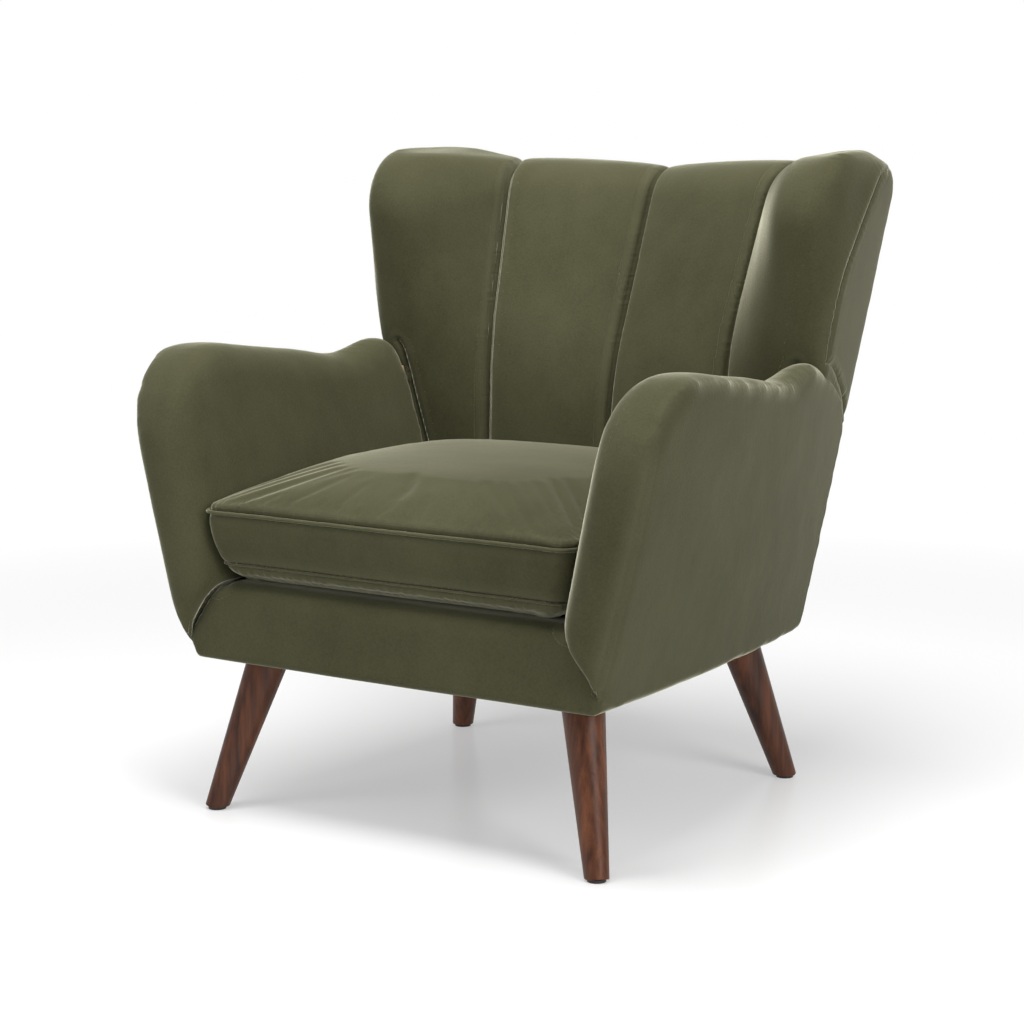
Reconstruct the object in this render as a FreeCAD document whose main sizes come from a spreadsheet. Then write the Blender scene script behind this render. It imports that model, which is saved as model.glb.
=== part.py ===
"""Lounge chair with a channelled wing back, scooped arms, a loose seat cushion and four splayed legs.

Millimetres. The origin lies on the floor, under the middle of the whole chair. +Y points to the back
of the chair and the chair is alike on both sides of the plane X = 0.
"""
import FreeCAD, Part

import math
import os

import Sketcher

from FreeCAD import Placement, Rotation, Vector

doc = FreeCAD.newDocument("lounge_chair")
sheet = doc.addObject("Spreadsheet::Sheet", "sizes")

SIZES = {
    # the outer body: flaring sides, tapering to the rear, and a barrel-shaped rear face
    "body_bottom": 210,
    "front_half_width": 312,
    "rear_half_width": 289,
    "front_reach": 366,
    "rear_reach": 234,
    "side_flare": 0.30,
    "side_flare_bow": 0.14,
    "rear_flare": 0.142,
    "side_swell": 12,
    "rear_lean": 0.145,
    "barrel_lean": 0.1935,
    "fan_distance": 610,
    "cover_thickness": 2,
    "pad_gap": 0.3,
    # legs
    "leg_top_diameter": 56,
    "leg_foot_diameter": 31,
    "front_foot_x": 300,
    "rear_foot_x": 276,
    "front_foot_y": 340,
    "rear_foot_y": 223,
    "leg_splay": 54,
    "glide_diameter": 24,
    "glide_thickness": 4,
    "bolt_diameter": 8,
    "bolt_hole": 8.4,
    "bolt_in_leg": 36,
    "bolt_in_block": 22,
    "plate_side": 66,
    "plate_thickness": 3,
    # seat frame
    "rail_height": 78,
    "rail_thickness": 25,
    "rail_padding": 12,
    "block_side": 88,
    "block_thickness": 28,
    "post_side": 30,
    "post_inset": 40,
    "post_bottom_angle": 18,
    "post_top_angle": 20.5,
    "top_rail_height": 48,
    "top_rail_thickness": 26,
    "top_rail_top": 806,
    "back_rail_half_angle": 21.8,
    "low_rail_bottom": 322,
    "low_rail_height": 50,
    "stile_width": 50,
    "wing_board_thickness": 12,
    "wing_board_bottom": 600,
    "wing_board_depth": 112,
    "arm_post_depth": 45,
    "arm_post_thickness": 28,
    "arm_post_setback": 42,
    "arm_rail_width": 18,
    "arm_rail_height": 40,
    "arm_rail_top": 560,
    # suspension of the seat and the back
    "spring_count": 5,
    "spring_wire": 3.8,
    "spring_pitch": 84,
    "spring_half_width": 22,
    "spring_loop": 13,
    "spring_drop": 3.2,
    "clip_width": 16,
    "hessian_thickness": 1.5,
    "deck_pad_thickness": 21,
    "deck_side_gap": 1.5,
    "deck_rear": 128,
    "strap_count": 5,
    "strap_height": 50,
    "strap_thickness": 2.4,
    "strap_spacing": 84,
    # arms
    "arm_inner_half_width": 262,
    "arm_inner_slope": 0.21,
    "arm_inner_level": 316,
    "arm_nose_reach": 400,
    "arm_nose_depth": 66,
    "arm_nose_top_depth": 110,
    "arm_nose_round": 45,
    "arm_nose_outer_round": 34,
    "arm_nose_drop": 146,
    "arm_nose_lift": 104,
    "arm_top_front": 623,
    "arm_top_low": 586,
    "arm_top_rear": 612,
    "arm_low_y": 35,
    "arm_rear_y": 95,
    "arm_end_y": 160,
    "arm_seam_y": 129,
    "arm_seam_setback": 18,
    "arm_top_round": 40,
    # front rail upholstery
    "rail_top": 316,
    "rail_end_half_width": 272,
    "rail_end_slope": 0.678,
    "rail_end_round": 26,
    "rail_nose_round": 28,
    "rail_pad_rear": 300,
    # back channels: the two seam lines, each with a foot, a knee and a crest corner
    "seam_angle": 14.04,
    "channel_swell": 14,
    "channel_crest_swell": 4,
    "back_foot_radius": 776,
    "side_foot_radius": 797,
    "back_knee_radius": 803,
    "side_knee_radius": 809,
    "back_knee_height": 560,
    "side_knee_height": 600,
    "back_crest_radius": 929,
    "side_crest_radius": 906,
    "back_crest_height": 851,
    "side_crest_height": 861,
    "crest_round": 105,
    "crest_rear_round": 32,
    "knee_round": 420,
    # wings
    "wing_height": 881,
    "wing_rear_height": 882,
    "wing_nose_y": 94,
    "wing_waist_y": 124,
    "wing_waist_height": 665,
    "wing_nose_x": 340,
    "wing_nose_round": 78,
    # seat cushion
    "cushion_top_half_width": 275,
    "cushion_low_half_width": 258,
    "cushion_front": 375,
    "cushion_front_ear": 3,
    "cushion_rear": 148,
    "cushion_front_bow": 3,
    "cushion_side_bow": -1,
    "cushion_front_round": 27,
    "cushion_rear_round": 46,
    "cushion_low_seam": 345,
    "cushion_top_seam": 414,
    "cushion_crown": 473,
    "cushion_swell": 3,
    "cushion_low_setback": 12,
    "cushion_fabric": 1.5,
    "topper_thickness": 14,
    "piping_diameter": 6,
    # zip in the rear of the cushion
    "zip_length": 400,
    "zip_tape_height": 26,
    "zip_level": 378,
    "slider_length": 12,
    "slider_height": 9,
    "slider_thickness": 3.2,
    "slider_margin": 10,
    "pull_length": 24,
    "pull_width": 6,
    "pull_thickness": 1.4,
    "pull_pin_diameter": 1.6,
    "pull_pin_hole": 1.9,
}

for row, (alias, value) in enumerate(SIZES.items(), start=1):
    sheet.set(f"A{row}", alias)
    sheet.set(f"B{row}", str(value))
    sheet.setAlias(f"B{row}", alias)
doc.recompute()


class Sizes:
    """Reads a driving dimension from the sheet by its alias."""

    def __getattr__(self, alias):
        return float(sheet.get(alias))


s = Sizes()
nodes = {}

UP = Vector(0, 0, 1)
FULL_TURN = 360
SKY = 1000
FAR = 700


def keep(name, feature):
    """Labels a finished sub-part and puts it on the list of files to write."""
    feature.Label = name
    nodes[name] = feature
    return feature


def solid_node(name, shape):
    """A sub-part whose surface is worked out from the sheet by this file's own formulas."""
    feature = doc.addObject("Part::Feature", name)
    feature.Shape = shape
    feature.Placement = Placement()
    return keep(name, feature)


def bind(feature, **expressions):
    """Ties a feature's properties to cells of the sheet."""
    for prop, expression in expressions.items():
        feature.setExpression(prop, expression)
    return feature


def mirrored_node(name, source):
    """The left-hand twin of a right-hand sub-part."""
    twin = doc.addObject("Part::Mirroring", name)
    twin.Source = source
    twin.Normal = Vector(1, 0, 0)
    return keep(name, twin)


def pair(stem, shape):
    """A right-hand sub-part and its left-hand twin."""
    right = solid_node(f"{stem}_right", shape)
    mirrored_node(f"{stem}_left", right)
    return right


# plain solids used as cutters and limits
def block(low, high):
    """Box between two opposite corners."""
    size = high - low
    return Part.makeBox(size.x, size.y, size.z, low)


def prism(outline, direction):
    """Straight extrusion of a closed outline of points."""
    return Part.Face(Part.makePolygon(outline + outline[:1])).extrude(direction)


def rounded_loop(points, radii):
    """Closed wire through points of one plane, with each corner turned by an arc of its own radius.

    An arc takes at most 0.46 of the shorter side beside it, so that a small section keeps its sides.
    """
    share = 0.46
    arcs = []
    for i, corner in enumerate(points):
        to_last = points[i - 1] - corner
        to_next = points[(i + 1) % len(points)] - corner
        half = to_last.getAngle(to_next) / 2
        reach = min(radii[i] / math.tan(half), share * to_last.Length, share * to_next.Length)
        radius = reach * math.tan(half)
        a = corner + to_last.normalize() * reach
        b = corner + to_next.normalize() * reach
        middle = ((a + b) * 0.5 - corner).normalize()
        mid = corner + middle * (radius / math.sin(half) - radius)
        arcs.append((a, mid, b))
    edges = []
    for i, (a, mid, b) in enumerate(arcs):
        edges.append(Part.Arc(a, mid, b).toShape())
        edges.append(Part.makeLine(b, arcs[(i + 1) % len(arcs)][0]))
    return Part.Wire(edges)


# the outer surface that every cover follows
def side_x(y, z, inset=0.0):
    """Half width of the outer face at depth y and height z, less an inset."""
    rise = z - s.body_bottom
    front = s.front_half_width + s.side_flare * rise - s.side_flare_bow * rise * rise / SKY
    rear = s.rear_half_width + s.rear_flare * rise
    along = (y + s.front_reach) / (s.front_reach + s.rear_reach + s.rear_lean * rise)
    return front + (rear - front) * along + 4 * s.side_swell * along * (1 - along) - inset


def barrel_radius(z, inset=0.0):
    """Radius of the rear face about the fan axis at height z, less an inset."""
    corner = math.hypot(s.rear_half_width, s.rear_reach + s.fan_distance)
    return corner + s.barrel_lean * (z - s.body_bottom) - inset


FLOOR_SIDE = 190
LOFT_TOP = 930


def side_envelope(inset):
    """All that lies inside the outer face of the right-hand side, less an inset."""
    heights = (FLOOR_SIDE, (FLOOR_SIDE + LOFT_TOP) / 2, LOFT_TOP)
    first, last, count = -s.front_reach - 70, s.rear_reach + 290, 8
    loops = []
    for i in range(count):
        y = first + (last - first) * i / (count - 1)
        low, mid, high = (Vector(side_x(y, z, inset), y, z) for z in heights)
        inner_high = Vector(-FAR, y, LOFT_TOP)
        inner_low = Vector(-FAR, y, FLOOR_SIDE)
        edges = [
            Part.Arc(low, mid, high).toShape(),
            Part.makeLine(high, inner_high),
            Part.makeLine(inner_high, inner_low),
            Part.makeLine(inner_low, low),
        ]
        loops.append(Part.Wire(edges))
    return Part.makeLoft(loops, True, False)


def barrel(inset, low=FLOOR_SIDE, high=LOFT_TOP):
    """All that lies in front of the barrel-shaped rear face, less an inset."""
    return Part.makeCone(
        barrel_radius(low, inset), barrel_radius(high, inset), high - low, Vector(0, -s.fan_distance, low), UP
    )


def barrel_ring(inner_inset, low, high):
    """All that lies behind the rear face less an inset, between two heights."""
    outer = Part.makeCylinder(2 * SKY, high - low, Vector(0, -s.fan_distance, low), UP)
    return outer.cut(barrel(inner_inset, low, high))


def both_sides(shape):
    """The common part of a right-hand limit and its mirror image."""
    return shape.common(shape.mirror(Vector(), Vector(1, 0, 0)))


def curved_rail(inner, outer, low, high, half_angle):
    """Bandsawn rail: a piece of a ring about the fan axis."""
    centre = Vector(0, -s.fan_distance, low)
    sector = Part.makeCylinder(outer, high - low, centre, UP, 2 * half_angle)
    sector.rotate(centre, UP, 90 - half_angle)
    return sector.cut(Part.makeCylinder(inner, high - low, centre, UP))


def on_fan(radius, angle, z):
    """Point at a radius and an angle from the fan axis, which stands in front of the chair."""
    turn = math.radians(angle)
    return Vector(radius * math.sin(turn), radius * math.cos(turn) - s.fan_distance, z)


cover = s.cover_thickness
pad_inset = s.cover_thickness + s.pad_gap
rail_bottom = s.body_bottom + 4
rail_level = rail_bottom + s.rail_height
deck_base = rail_level + s.hessian_thickness
pad_foot = deck_base + s.pad_gap

outer_skin = side_envelope(0)
inner_skin = side_envelope(cover)
pad_limit = side_envelope(pad_inset)
skin_shell = outer_skin.cut(inner_skin)


# upright sections of the back and the wings
RIB_LEVEL = 134.0


def rear_y(x_level, slope, radius):
    """Depth at which a rib's plane meets a circle of the given radius about the fan axis."""
    start = x_level - slope * (RIB_LEVEL + s.fan_distance)
    square = 1 + slope * slope
    root = math.sqrt((start * slope) ** 2 - square * (start * start - radius * radius))
    return (root - start * slope) / square - s.fan_distance


def rib(x_level, angle, foot, knee, crest, rear_top, radii, inset):
    """Closed section of padding in one upright plane.

    The plane passes x_level at the depth RIB_LEVEL and turns by angle from the Y axis. The foot, the
    knee and the crest are (y, z) corners of the front line, and rear_top is the height at the rear.
    """
    slope = math.tan(math.radians(angle))

    def place(y, z):
        return Vector(x_level + (y - RIB_LEVEL) * slope, y, z)

    behind = s.pad_gap + inset
    points = [
        place(foot[0] + inset, foot[1]),
        place(knee[0] + inset, knee[1]),
        place(crest[0] + inset, crest[1] - inset),
        place(rear_y(x_level, slope, barrel_radius(rear_top, behind)), rear_top - inset),
        place(rear_y(x_level, slope, barrel_radius(foot[1], behind)), foot[1]),
    ]
    return rounded_loop(points, radii)


def channel_rib(share, inset):
    """Section of the right-hand channel at a share of the way from the centre seam to the side seam."""
    swell_power = 2.6
    angle = s.seam_angle * share
    swell = 1 - abs(2 * share - 1) ** swell_power
    lift = s.channel_crest_swell * swell

    def between(back, side):
        return back + (side - back) * share

    def depth(radius):
        return (radius - s.channel_swell * swell) * math.cos(math.radians(angle)) - s.fan_distance

    x_level = (RIB_LEVEL + s.fan_distance) * math.tan(math.radians(angle))
    crest_height = between(s.back_crest_height, s.side_crest_height) + lift
    return rib(
        x_level,
        angle,
        (depth(between(s.back_foot_radius, s.side_foot_radius)), pad_foot),
        (
            depth(between(s.back_knee_radius, s.side_knee_radius)),
            between(s.back_knee_height, s.side_knee_height),
        ),
        (depth(between(s.back_crest_radius, s.side_crest_radius)), crest_height),
        crest_height + 1,
        [6, s.knee_round, s.crest_round, s.crest_rear_round, 6],
        inset,
    )


def channel_form(inset):
    """Padding of the right-hand channel between its two seams."""
    shares = (0.0, 0.05, 0.17, 0.34, 0.5, 0.66, 0.83, 0.95, 1.0)
    return Part.makeLoft([channel_rib(share, inset) for share in shares], True, False)


def blended(rows, steps):
    """Rows of values with further rows between them, on a smooth curve through the given ones."""
    out = []
    for i in range(len(rows) - 1):
        near = [rows[max(i - 1, 0)], rows[i], rows[i + 1], rows[min(i + 2, len(rows) - 1)]]
        for step in range(steps):
            t = step / steps
            weights = (
                (-t + 2 * t**2 - t**3) / 2,
                (2 - 5 * t**2 + 3 * t**3) / 2,
                (t + 4 * t**2 - 3 * t**3) / 2,
                (-(t**2) + t**3) / 2,
            )
            out.append([sum(w * v for w, v in zip(weights, values)) for values in zip(*near)])
    out.append(list(rows[-1]))
    return out


def wing_ribs(inset):
    """Sections of the right-hand wing, from the side seam over the nose to its outer seam."""
    seam = math.radians(s.seam_angle)
    seam_x = (RIB_LEVEL + s.fan_distance) * math.tan(seam)

    def depth(radius):
        return radius * math.cos(seam) - s.fan_distance

    waist, waist_z = s.wing_waist_y, s.wing_waist_height
    nose, top, rear = s.wing_nose_y, s.wing_height, s.wing_rear_height
    nose_x, soft = s.wing_nose_x, s.wing_nose_round
    low = s.side_crest_height
    foot_y, knee_y, crest_y = (
        depth(radius) for radius in (s.side_foot_radius, s.side_knee_radius, s.side_crest_radius)
    )
    wide = s.crest_round
    # x, angle, foot y, knee y, knee z, crest y, crest z, rear height, crest radius, rear radius
    rows = [
        (seam_x, s.seam_angle, foot_y, knee_y, s.side_knee_height, crest_y, low, low + 1, wide, s.crest_rear_round),
        (seam_x + 14, 12.5, waist + 43, waist + 40, waist_z - 62, waist + 132, low, low + 2, wide, 34),
        (seam_x + 40, 9, waist + 44, waist + 27, waist_z - 45, waist + 100, low + 1, low + 5, wide, 38),
        (seam_x + 78, 4, waist + 44, waist + 10, waist_z - 25, waist + 40, low + 2, low + 11, soft + 24, 44),
        (seam_x + 118, -1, waist + 44, waist, waist_z - 10, nose + 8, low + 4, rear - 3, soft + 10, 50),
        (nose_x + 8, -5, waist + 44, waist, waist_z, nose - 2, low + 7, rear, soft + 4, 54),
        (nose_x + 28, -8, waist + 44, waist + 12, waist_z, nose + 18, top - 5, rear - 2, soft, 58),
        (nose_x + 42, -9, waist + 46, waist + 24, waist_z, nose + 58, top, rear - 11, soft - 10, 62),
        (nose_x + 56, -10, waist + 50, waist + 40, waist_z, nose + 124, top - 4, rear - 24, soft - 24, 66),
        (nose_x + 74, -10, waist + 60, waist + 58, waist_z, nose + 180, top - 17, rear - 40, soft - 34, 70),
    ]
    loops = []
    for row in blended(rows, 2):
        x_level, angle, foot, knee, knee_z, crest, crest_z, rear_top, crest_radius, rear_radius = row
        radii = [6, s.knee_round, crest_radius, rear_radius, 6]
        loops.append(
            rib(x_level, angle, (foot, pad_foot), (knee, knee_z), (crest, crest_z), rear_top, radii, inset)
        )
    return loops


def wing_form(inset):
    """Padding of the right-hand wing, untrimmed on its outer side."""
    return Part.makeLoft(wing_ribs(inset), True, False)


# arms
def arm_inner_x(z, inset=0.0):
    """Half width of the space between the arms at height z."""
    return s.arm_inner_half_width + s.arm_inner_slope * (z - s.arm_inner_level) + inset


def arm_top(y):
    """Height of the arm's upper line: it falls from the nose and sweeps up to the wing."""
    nose_end = -s.arm_nose_reach + s.arm_nose_top_depth
    if y <= s.arm_low_y:
        share = max(0.0, (y - nose_end) / (s.arm_low_y - nose_end))
        ease = share * share * (3 - 2 * share) * 0.5 + share * 0.5
        return s.arm_top_front + (s.arm_top_low - s.arm_top_front) * ease
    hump_end = 1.25
    share = min(hump_end, (y - s.arm_low_y) / (s.arm_rear_y - s.arm_low_y))
    return s.arm_top_low + (s.arm_top_rear - s.arm_top_low) * share * share * (3 - 2 * share)


def arm_form(inset, open_sides=False):
    """Padding of the right-hand arm, untrimmed on its outer side and at the wing.

    With open_sides the form runs on past its rear and past its foot behind the nose, so that a cover cut
    by it is open there.
    """
    extra = 12 if open_sides else 0
    nose_angles = (8, 20, 33, 47, 61, 75, 90)
    stations = []
    for angle in nose_angles:
        turn = math.radians(angle)
        behind_tip = s.arm_nose_top_depth * (1 - math.cos(turn))
        left = max(0.0, 1 - behind_tip / s.arm_nose_depth)
        y = -s.arm_nose_reach + inset + behind_tip
        stations.append((y, 1 - math.sqrt(1 - left * left), 1 - math.sin(turn)))
    rest = (0.16, 0.34, 0.52, 0.68, 0.82, 0.92, 1.0)
    start = stations[-1][0]
    stations += [(start + (s.arm_end_y + extra - start) * share, 0.0, 0.0) for share in rest]
    loops = []
    for y, gone, top_gone in stations:
        foot = s.body_bottom + s.arm_nose_lift * gone + (inset if gone > 0 else -extra)
        top = arm_top(y) - s.arm_nose_drop * top_gone - inset
        inner = s.arm_nose_round * gone + inset
        outer = 9 - s.arm_nose_outer_round * gone
        points = [
            Vector(arm_inner_x(foot, inner), y, foot),
            Vector(arm_inner_x(top, inner), y, top),
            Vector(side_x(y, top) + outer, y, top),
            Vector(side_x(y, foot) + outer, y, foot),
        ]
        loops.append(rounded_loop(points, [5, s.arm_top_round, 10, 5]))
    return Part.makeLoft(loops, True, False)


# front rail upholstery
def rail_outline(inset, low):
    """Upright outline of the front rail's padding, seen from the front, with slanted ends."""
    spread = s.rail_end_half_width + s.rail_end_slope * (s.rail_top - low)
    half_top = s.rail_end_half_width - inset
    half_low = spread - inset
    front = -s.front_reach - 100
    points = [
        Vector(-half_low, front, low),
        Vector(half_low, front, low),
        Vector(half_top, front, s.rail_top - inset),
        Vector(-half_top, front, s.rail_top - inset),
    ]
    radii = [2, 2, s.rail_end_round, s.rail_end_round]
    return Part.Face(rounded_loop(points, radii)).extrude(Vector(0, 2 * SKY, 0))


def rail_form(inset, low, rear):
    """Padding of the front rail: the outline above met by a side view with a rounded nose."""
    top = s.rail_top - inset
    front = -s.front_reach + inset
    side = [
        Vector(-FAR, front, low),
        Vector(-FAR, front, top),
        Vector(-FAR, rear, top),
        Vector(-FAR, rear, low),
    ]
    profile = Part.Face(rounded_loop(side, [2, s.rail_nose_round, 2, 2])).extrude(Vector(2 * FAR, 0, 0))
    return rail_outline(inset, low).common(profile)


# legs, turned and splayed, with a glide, a plate and a hanger bolt each
def leg_corners():
    """Foot centre of each leg, and the signs of its splay."""
    return {
        "front_right": (s.front_foot_x, -s.front_foot_y),
        "front_left": (-s.front_foot_x, -s.front_foot_y),
        "rear_right": (s.rear_foot_x, s.rear_foot_y),
        "rear_left": (-s.rear_foot_x, s.rear_foot_y),
    }


def leg_axis(foot_x, foot_y):
    """Foot point, head point and unit direction of a leg."""
    foot = Vector(foot_x, foot_y, 0)
    head = Vector(
        foot_x - math.copysign(s.leg_splay, foot_x), foot_y - math.copysign(s.leg_splay, foot_y), s.body_bottom
    )
    return foot, head, (head - foot).normalize()


def along_leg(foot_x, foot_y):
    """Placement that stands the Z axis on a leg's own axis."""
    foot, _, direction = leg_axis(foot_x, foot_y)
    return Placement(foot, Rotation(UP, direction))


def sketch_outline(body, name, corners):
    """Closed sketch on the body's XZ plane, whose corners are given as pairs of sheet expressions."""
    sketch = body.newObject("Sketcher::SketchObject", name)
    plane = next(f for f in body.Origin.OriginFeatures if f.Role == "XZ_Plane")
    sketch.AttachmentSupport = (plane, [""])
    sketch.MapMode = "FlatFace"
    guesses = [(10 + 20 * i, 15 + 25 * i) for i in range(len(corners))]
    for i in range(len(corners)):
        ax, ay = guesses[i]
        bx, by = guesses[(i + 1) % len(corners)]
        sketch.addGeometry(Part.LineSegment(Vector(ax, ay, 0), Vector(bx, by, 0)), False)
    for i in range(len(corners)):
        sketch.addConstraint(Sketcher.Constraint("Coincident", i, 2, (i + 1) % len(corners), 1))
    for i, (across, up) in enumerate(corners):
        for kind, expression in (("DistanceX", across), ("DistanceY", up)):
            index = sketch.addConstraint(Sketcher.Constraint(kind, -1, 1, i, 1, 1.0))
            sketch.setExpression(f"Constraints[{index}]", expression)
    return sketch


def turned_body(name, corners):
    """Body turned about its Z axis from an outline of sheet expressions."""
    body = doc.addObject("PartDesign::Body", name)
    sketch = sketch_outline(body, f"{name}_outline", corners)
    turned = body.newObject("PartDesign::Revolution", f"{name}_turned")
    turned.Profile = sketch
    turned.ReferenceAxis = (sketch, ["V_Axis"])
    turned.Angle = FULL_TURN
    body.Tip = turned
    return body


leg_length = "sqrt(sizes.body_bottom ^ 2 + 2 * sizes.leg_splay ^ 2)"
taper = "(sizes.leg_top_diameter - sizes.leg_foot_diameter) / 2 / " + leg_length
overrun = 24
leg_outline = [
    ("0.01", "1"),
    (f"sizes.leg_foot_diameter / 2 + 1 * {taper}", "1"),
    (f"sizes.leg_top_diameter / 2 + {overrun} * {taper}", f"{leg_length} + {overrun}"),
    ("0.01", f"{leg_length} + {overrun}"),
]

plates, bolts, glides, blocks = [], [], [], []
block_low = rail_bottom
plate_low = rail_bottom - s.plate_thickness
bolt_holes = []

for corner, (foot_x, foot_y) in leg_corners().items():
    foot, head, direction = leg_axis(foot_x, foot_y)
    stand = along_leg(foot_x, foot_y)
    length = (head - foot).Length
    bolt_low = length - s.bolt_in_leg
    bolt_run = s.bolt_in_leg + s.bolt_in_block
    hole = Part.makeCylinder(s.bolt_hole / 2, bolt_run + 1, Vector(0, 0, bolt_low - 1), UP)
    hole.Placement = stand
    bolt_holes.append(hole)
    bolt = Part.makeCylinder(s.bolt_diameter / 2, bolt_run - 1, Vector(0, 0, bolt_low), UP)
    bolt.Placement = stand
    bolts.append(bolt)
    centre = foot + direction * ((plate_low - foot.z) / direction.z)
    half = s.plate_side / 2
    plate = block(
        Vector(centre.x - half, centre.y - half, plate_low),
        Vector(centre.x + half, centre.y + half, rail_bottom),
    )
    plates.append(plate.cut(hole))
    glide_foot = foot + direction * (s.glide_thickness / direction.z)
    glide_base = Vector(glide_foot.x, glide_foot.y, 0)
    glides.append(Part.makeCylinder(s.glide_diameter / 2, s.glide_thickness, glide_base, UP))

    turned = turned_body(f"leg_{corner}_turned", leg_outline)
    turned.Placement = stand
    ends = doc.addObject("Part::Box", f"leg_{corner}_ends")
    bind(
        ends,
        Length="sizes.leg_top_diameter * 4",
        Width="sizes.leg_top_diameter * 4",
        Height="sizes.body_bottom + 4 - sizes.plate_thickness - sizes.glide_thickness",
    )
    reach = 2 * s.leg_top_diameter
    ends.Placement = Placement(Vector(foot.x - reach, foot.y - reach, s.glide_thickness), Rotation())
    trimmed = doc.addObject("Part::Common", f"leg_{corner}_trimmed")
    trimmed.Base = turned
    trimmed.Tool = ends
    bore = doc.addObject("Part::Cylinder", f"leg_{corner}_bore")
    bind(bore, Radius="sizes.bolt_hole / 2", Height="sizes.bolt_in_leg + sizes.bolt_in_block + 1")
    bore.Placement = Placement(stand.multVec(Vector(0, 0, bolt_low - 1)), stand.Rotation)
    leg = doc.addObject("Part::Cut", f"leg_{corner}")
    leg.Base = trimmed
    leg.Tool = bore
    keep(f"leg_{corner}", leg)

solid_node("leg_glides", Part.makeCompound(glides))
solid_node("leg_plates", Part.makeCompound(plates))
solid_node("hanger_bolts", Part.makeCompound(bolts))


# seat frame
front_rail_face = -s.front_reach + s.rail_padding
front_rail_rear = front_rail_face + s.rail_thickness
side_rail_front_x = side_x(-s.front_reach, s.body_bottom) - s.rail_padding
side_rail_rear_x = s.rear_half_width - s.rail_padding
rear_rail_outer = barrel_radius(s.body_bottom, s.rail_padding)
rear_rail_inner = rear_rail_outer - s.rail_thickness
block_corner_share = 0.45


def side_rail_face(y):
    """Half width of the seat frame's outer face at depth y."""
    run = s.rear_reach - s.rail_padding - front_rail_face
    return side_rail_front_x + (side_rail_rear_x - side_rail_front_x) * (y - front_rail_face) / run


front_rail = doc.addObject("Part::Box", "front_seat_rail_board")
bind(front_rail, Width="sizes.rail_thickness", Height="sizes.rail_height")
front_rail.Length = 2 * side_rail_face(front_rail_rear)
front_rail.Placement = Placement(
    Vector(-side_rail_face(front_rail_rear), front_rail_face, rail_bottom), Rotation()
)
keep("front_seat_rail", front_rail)

frame_outline = [
    Vector(side_rail_face(front_rail_face), front_rail_face, 0),
    Vector(side_rail_face(s.rear_reach + 60), s.rear_reach + 60, 0),
    Vector(-side_rail_face(s.rear_reach + 60), s.rear_reach + 60, 0),
    Vector(-side_rail_face(front_rail_face), front_rail_face, 0),
]


def frame_limit(low, high):
    """The seat frame's outer outline between two heights, closed at the rear by the rear rail's face."""
    outline = [point + UP * low for point in frame_outline]
    return prism(outline, UP * (high - low)).common(
        Part.makeCylinder(rear_rail_outer, high - low, Vector(0, -s.fan_distance, low), UP)
    )


rear_rail = curved_rail(rear_rail_inner, rear_rail_outer, rail_bottom, rail_level, 30)
solid_node("rear_seat_rail", rear_rail.common(frame_limit(rail_bottom, rail_level)))

side_strip = prism(
    [
        Vector(side_rail_face(front_rail_rear), front_rail_rear, rail_bottom),
        Vector(side_rail_face(s.rear_reach + 60), s.rear_reach + 60, rail_bottom),
        Vector(side_rail_face(s.rear_reach + 60) - s.rail_thickness, s.rear_reach + 60, rail_bottom),
        Vector(side_rail_face(front_rail_rear) - s.rail_thickness, front_rail_rear, rail_bottom),
    ],
    UP * s.rail_height,
)
rear_limit = Part.makeCylinder(rear_rail_inner, s.rail_height, Vector(0, -s.fan_distance, rail_bottom), UP)
pair("side_seat_rail", side_strip.common(rear_limit))

block_inner = prism(
    [
        Vector(0, front_rail_rear, block_low),
        Vector(side_rail_face(front_rail_rear) - s.rail_thickness, front_rail_rear, block_low),
        Vector(side_rail_face(s.rear_reach) - s.rail_thickness, s.rear_reach, block_low),
        Vector(0, s.rear_reach, block_low),
    ],
    UP * s.block_thickness,
).common(Part.makeCylinder(rear_rail_inner, s.block_thickness, Vector(0, -s.fan_distance, block_low), UP))
front_block_end = front_rail_rear + s.block_side
block_x = side_rail_face(front_rail_rear) - s.rail_thickness - s.block_side
front_block = prism(
    [
        Vector(block_x, front_rail_rear, block_low),
        Vector(FAR, front_rail_rear, block_low),
        Vector(FAR, front_block_end, block_low),
        Vector(block_x + s.block_side * block_corner_share, front_block_end, block_low),
    ],
    UP * s.block_thickness,
)
rear_block_edge = s.block_side / 2 + s.leg_splay
rear_block = block(
    Vector(s.rear_foot_x - rear_block_edge, s.rear_foot_y - rear_block_edge, block_low),
    Vector(FAR, FAR, block_low + s.block_thickness),
)
for near in (front_block, rear_block):
    right_block = near.common(block_inner)
    for hole in bolt_holes:
        right_block = right_block.cut(hole)
    blocks += [right_block, right_block.mirror(Vector(), Vector(1, 0, 0))]
solid_node("corner_blocks", Part.makeCompound(blocks))


# back frame: leaning posts, curved rails, a stile and the wing boards
def post_centre(z):
    """Middle of the right-hand back post at height z."""
    top = s.top_rail_top - s.top_rail_height
    share = (z - rail_level) / (top - rail_level)
    low_point = on_fan(barrel_radius(rail_level, s.post_inset), s.post_bottom_angle, rail_level)
    high_point = on_fan(barrel_radius(top, s.post_inset), s.post_top_angle, top)
    return low_point + (high_point - low_point) * share


def rectangle_at(centre, width, depth):
    """Level rectangle about a point."""
    a, b = width / 2, depth / 2
    corners = [Vector(-a, -b, 0), Vector(a, -b, 0), Vector(a, b, 0), Vector(-a, b, 0)]
    return Part.makePolygon([centre + corner for corner in corners + corners[:1]])


def leaning_board(low_centre, high_centre, width, depth):
    """Straight board with level ends whose section stays the same all the way up."""
    ends = [rectangle_at(low_centre, width, depth), rectangle_at(high_centre, width, depth)]
    return Part.makeLoft(ends, True, True)


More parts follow.
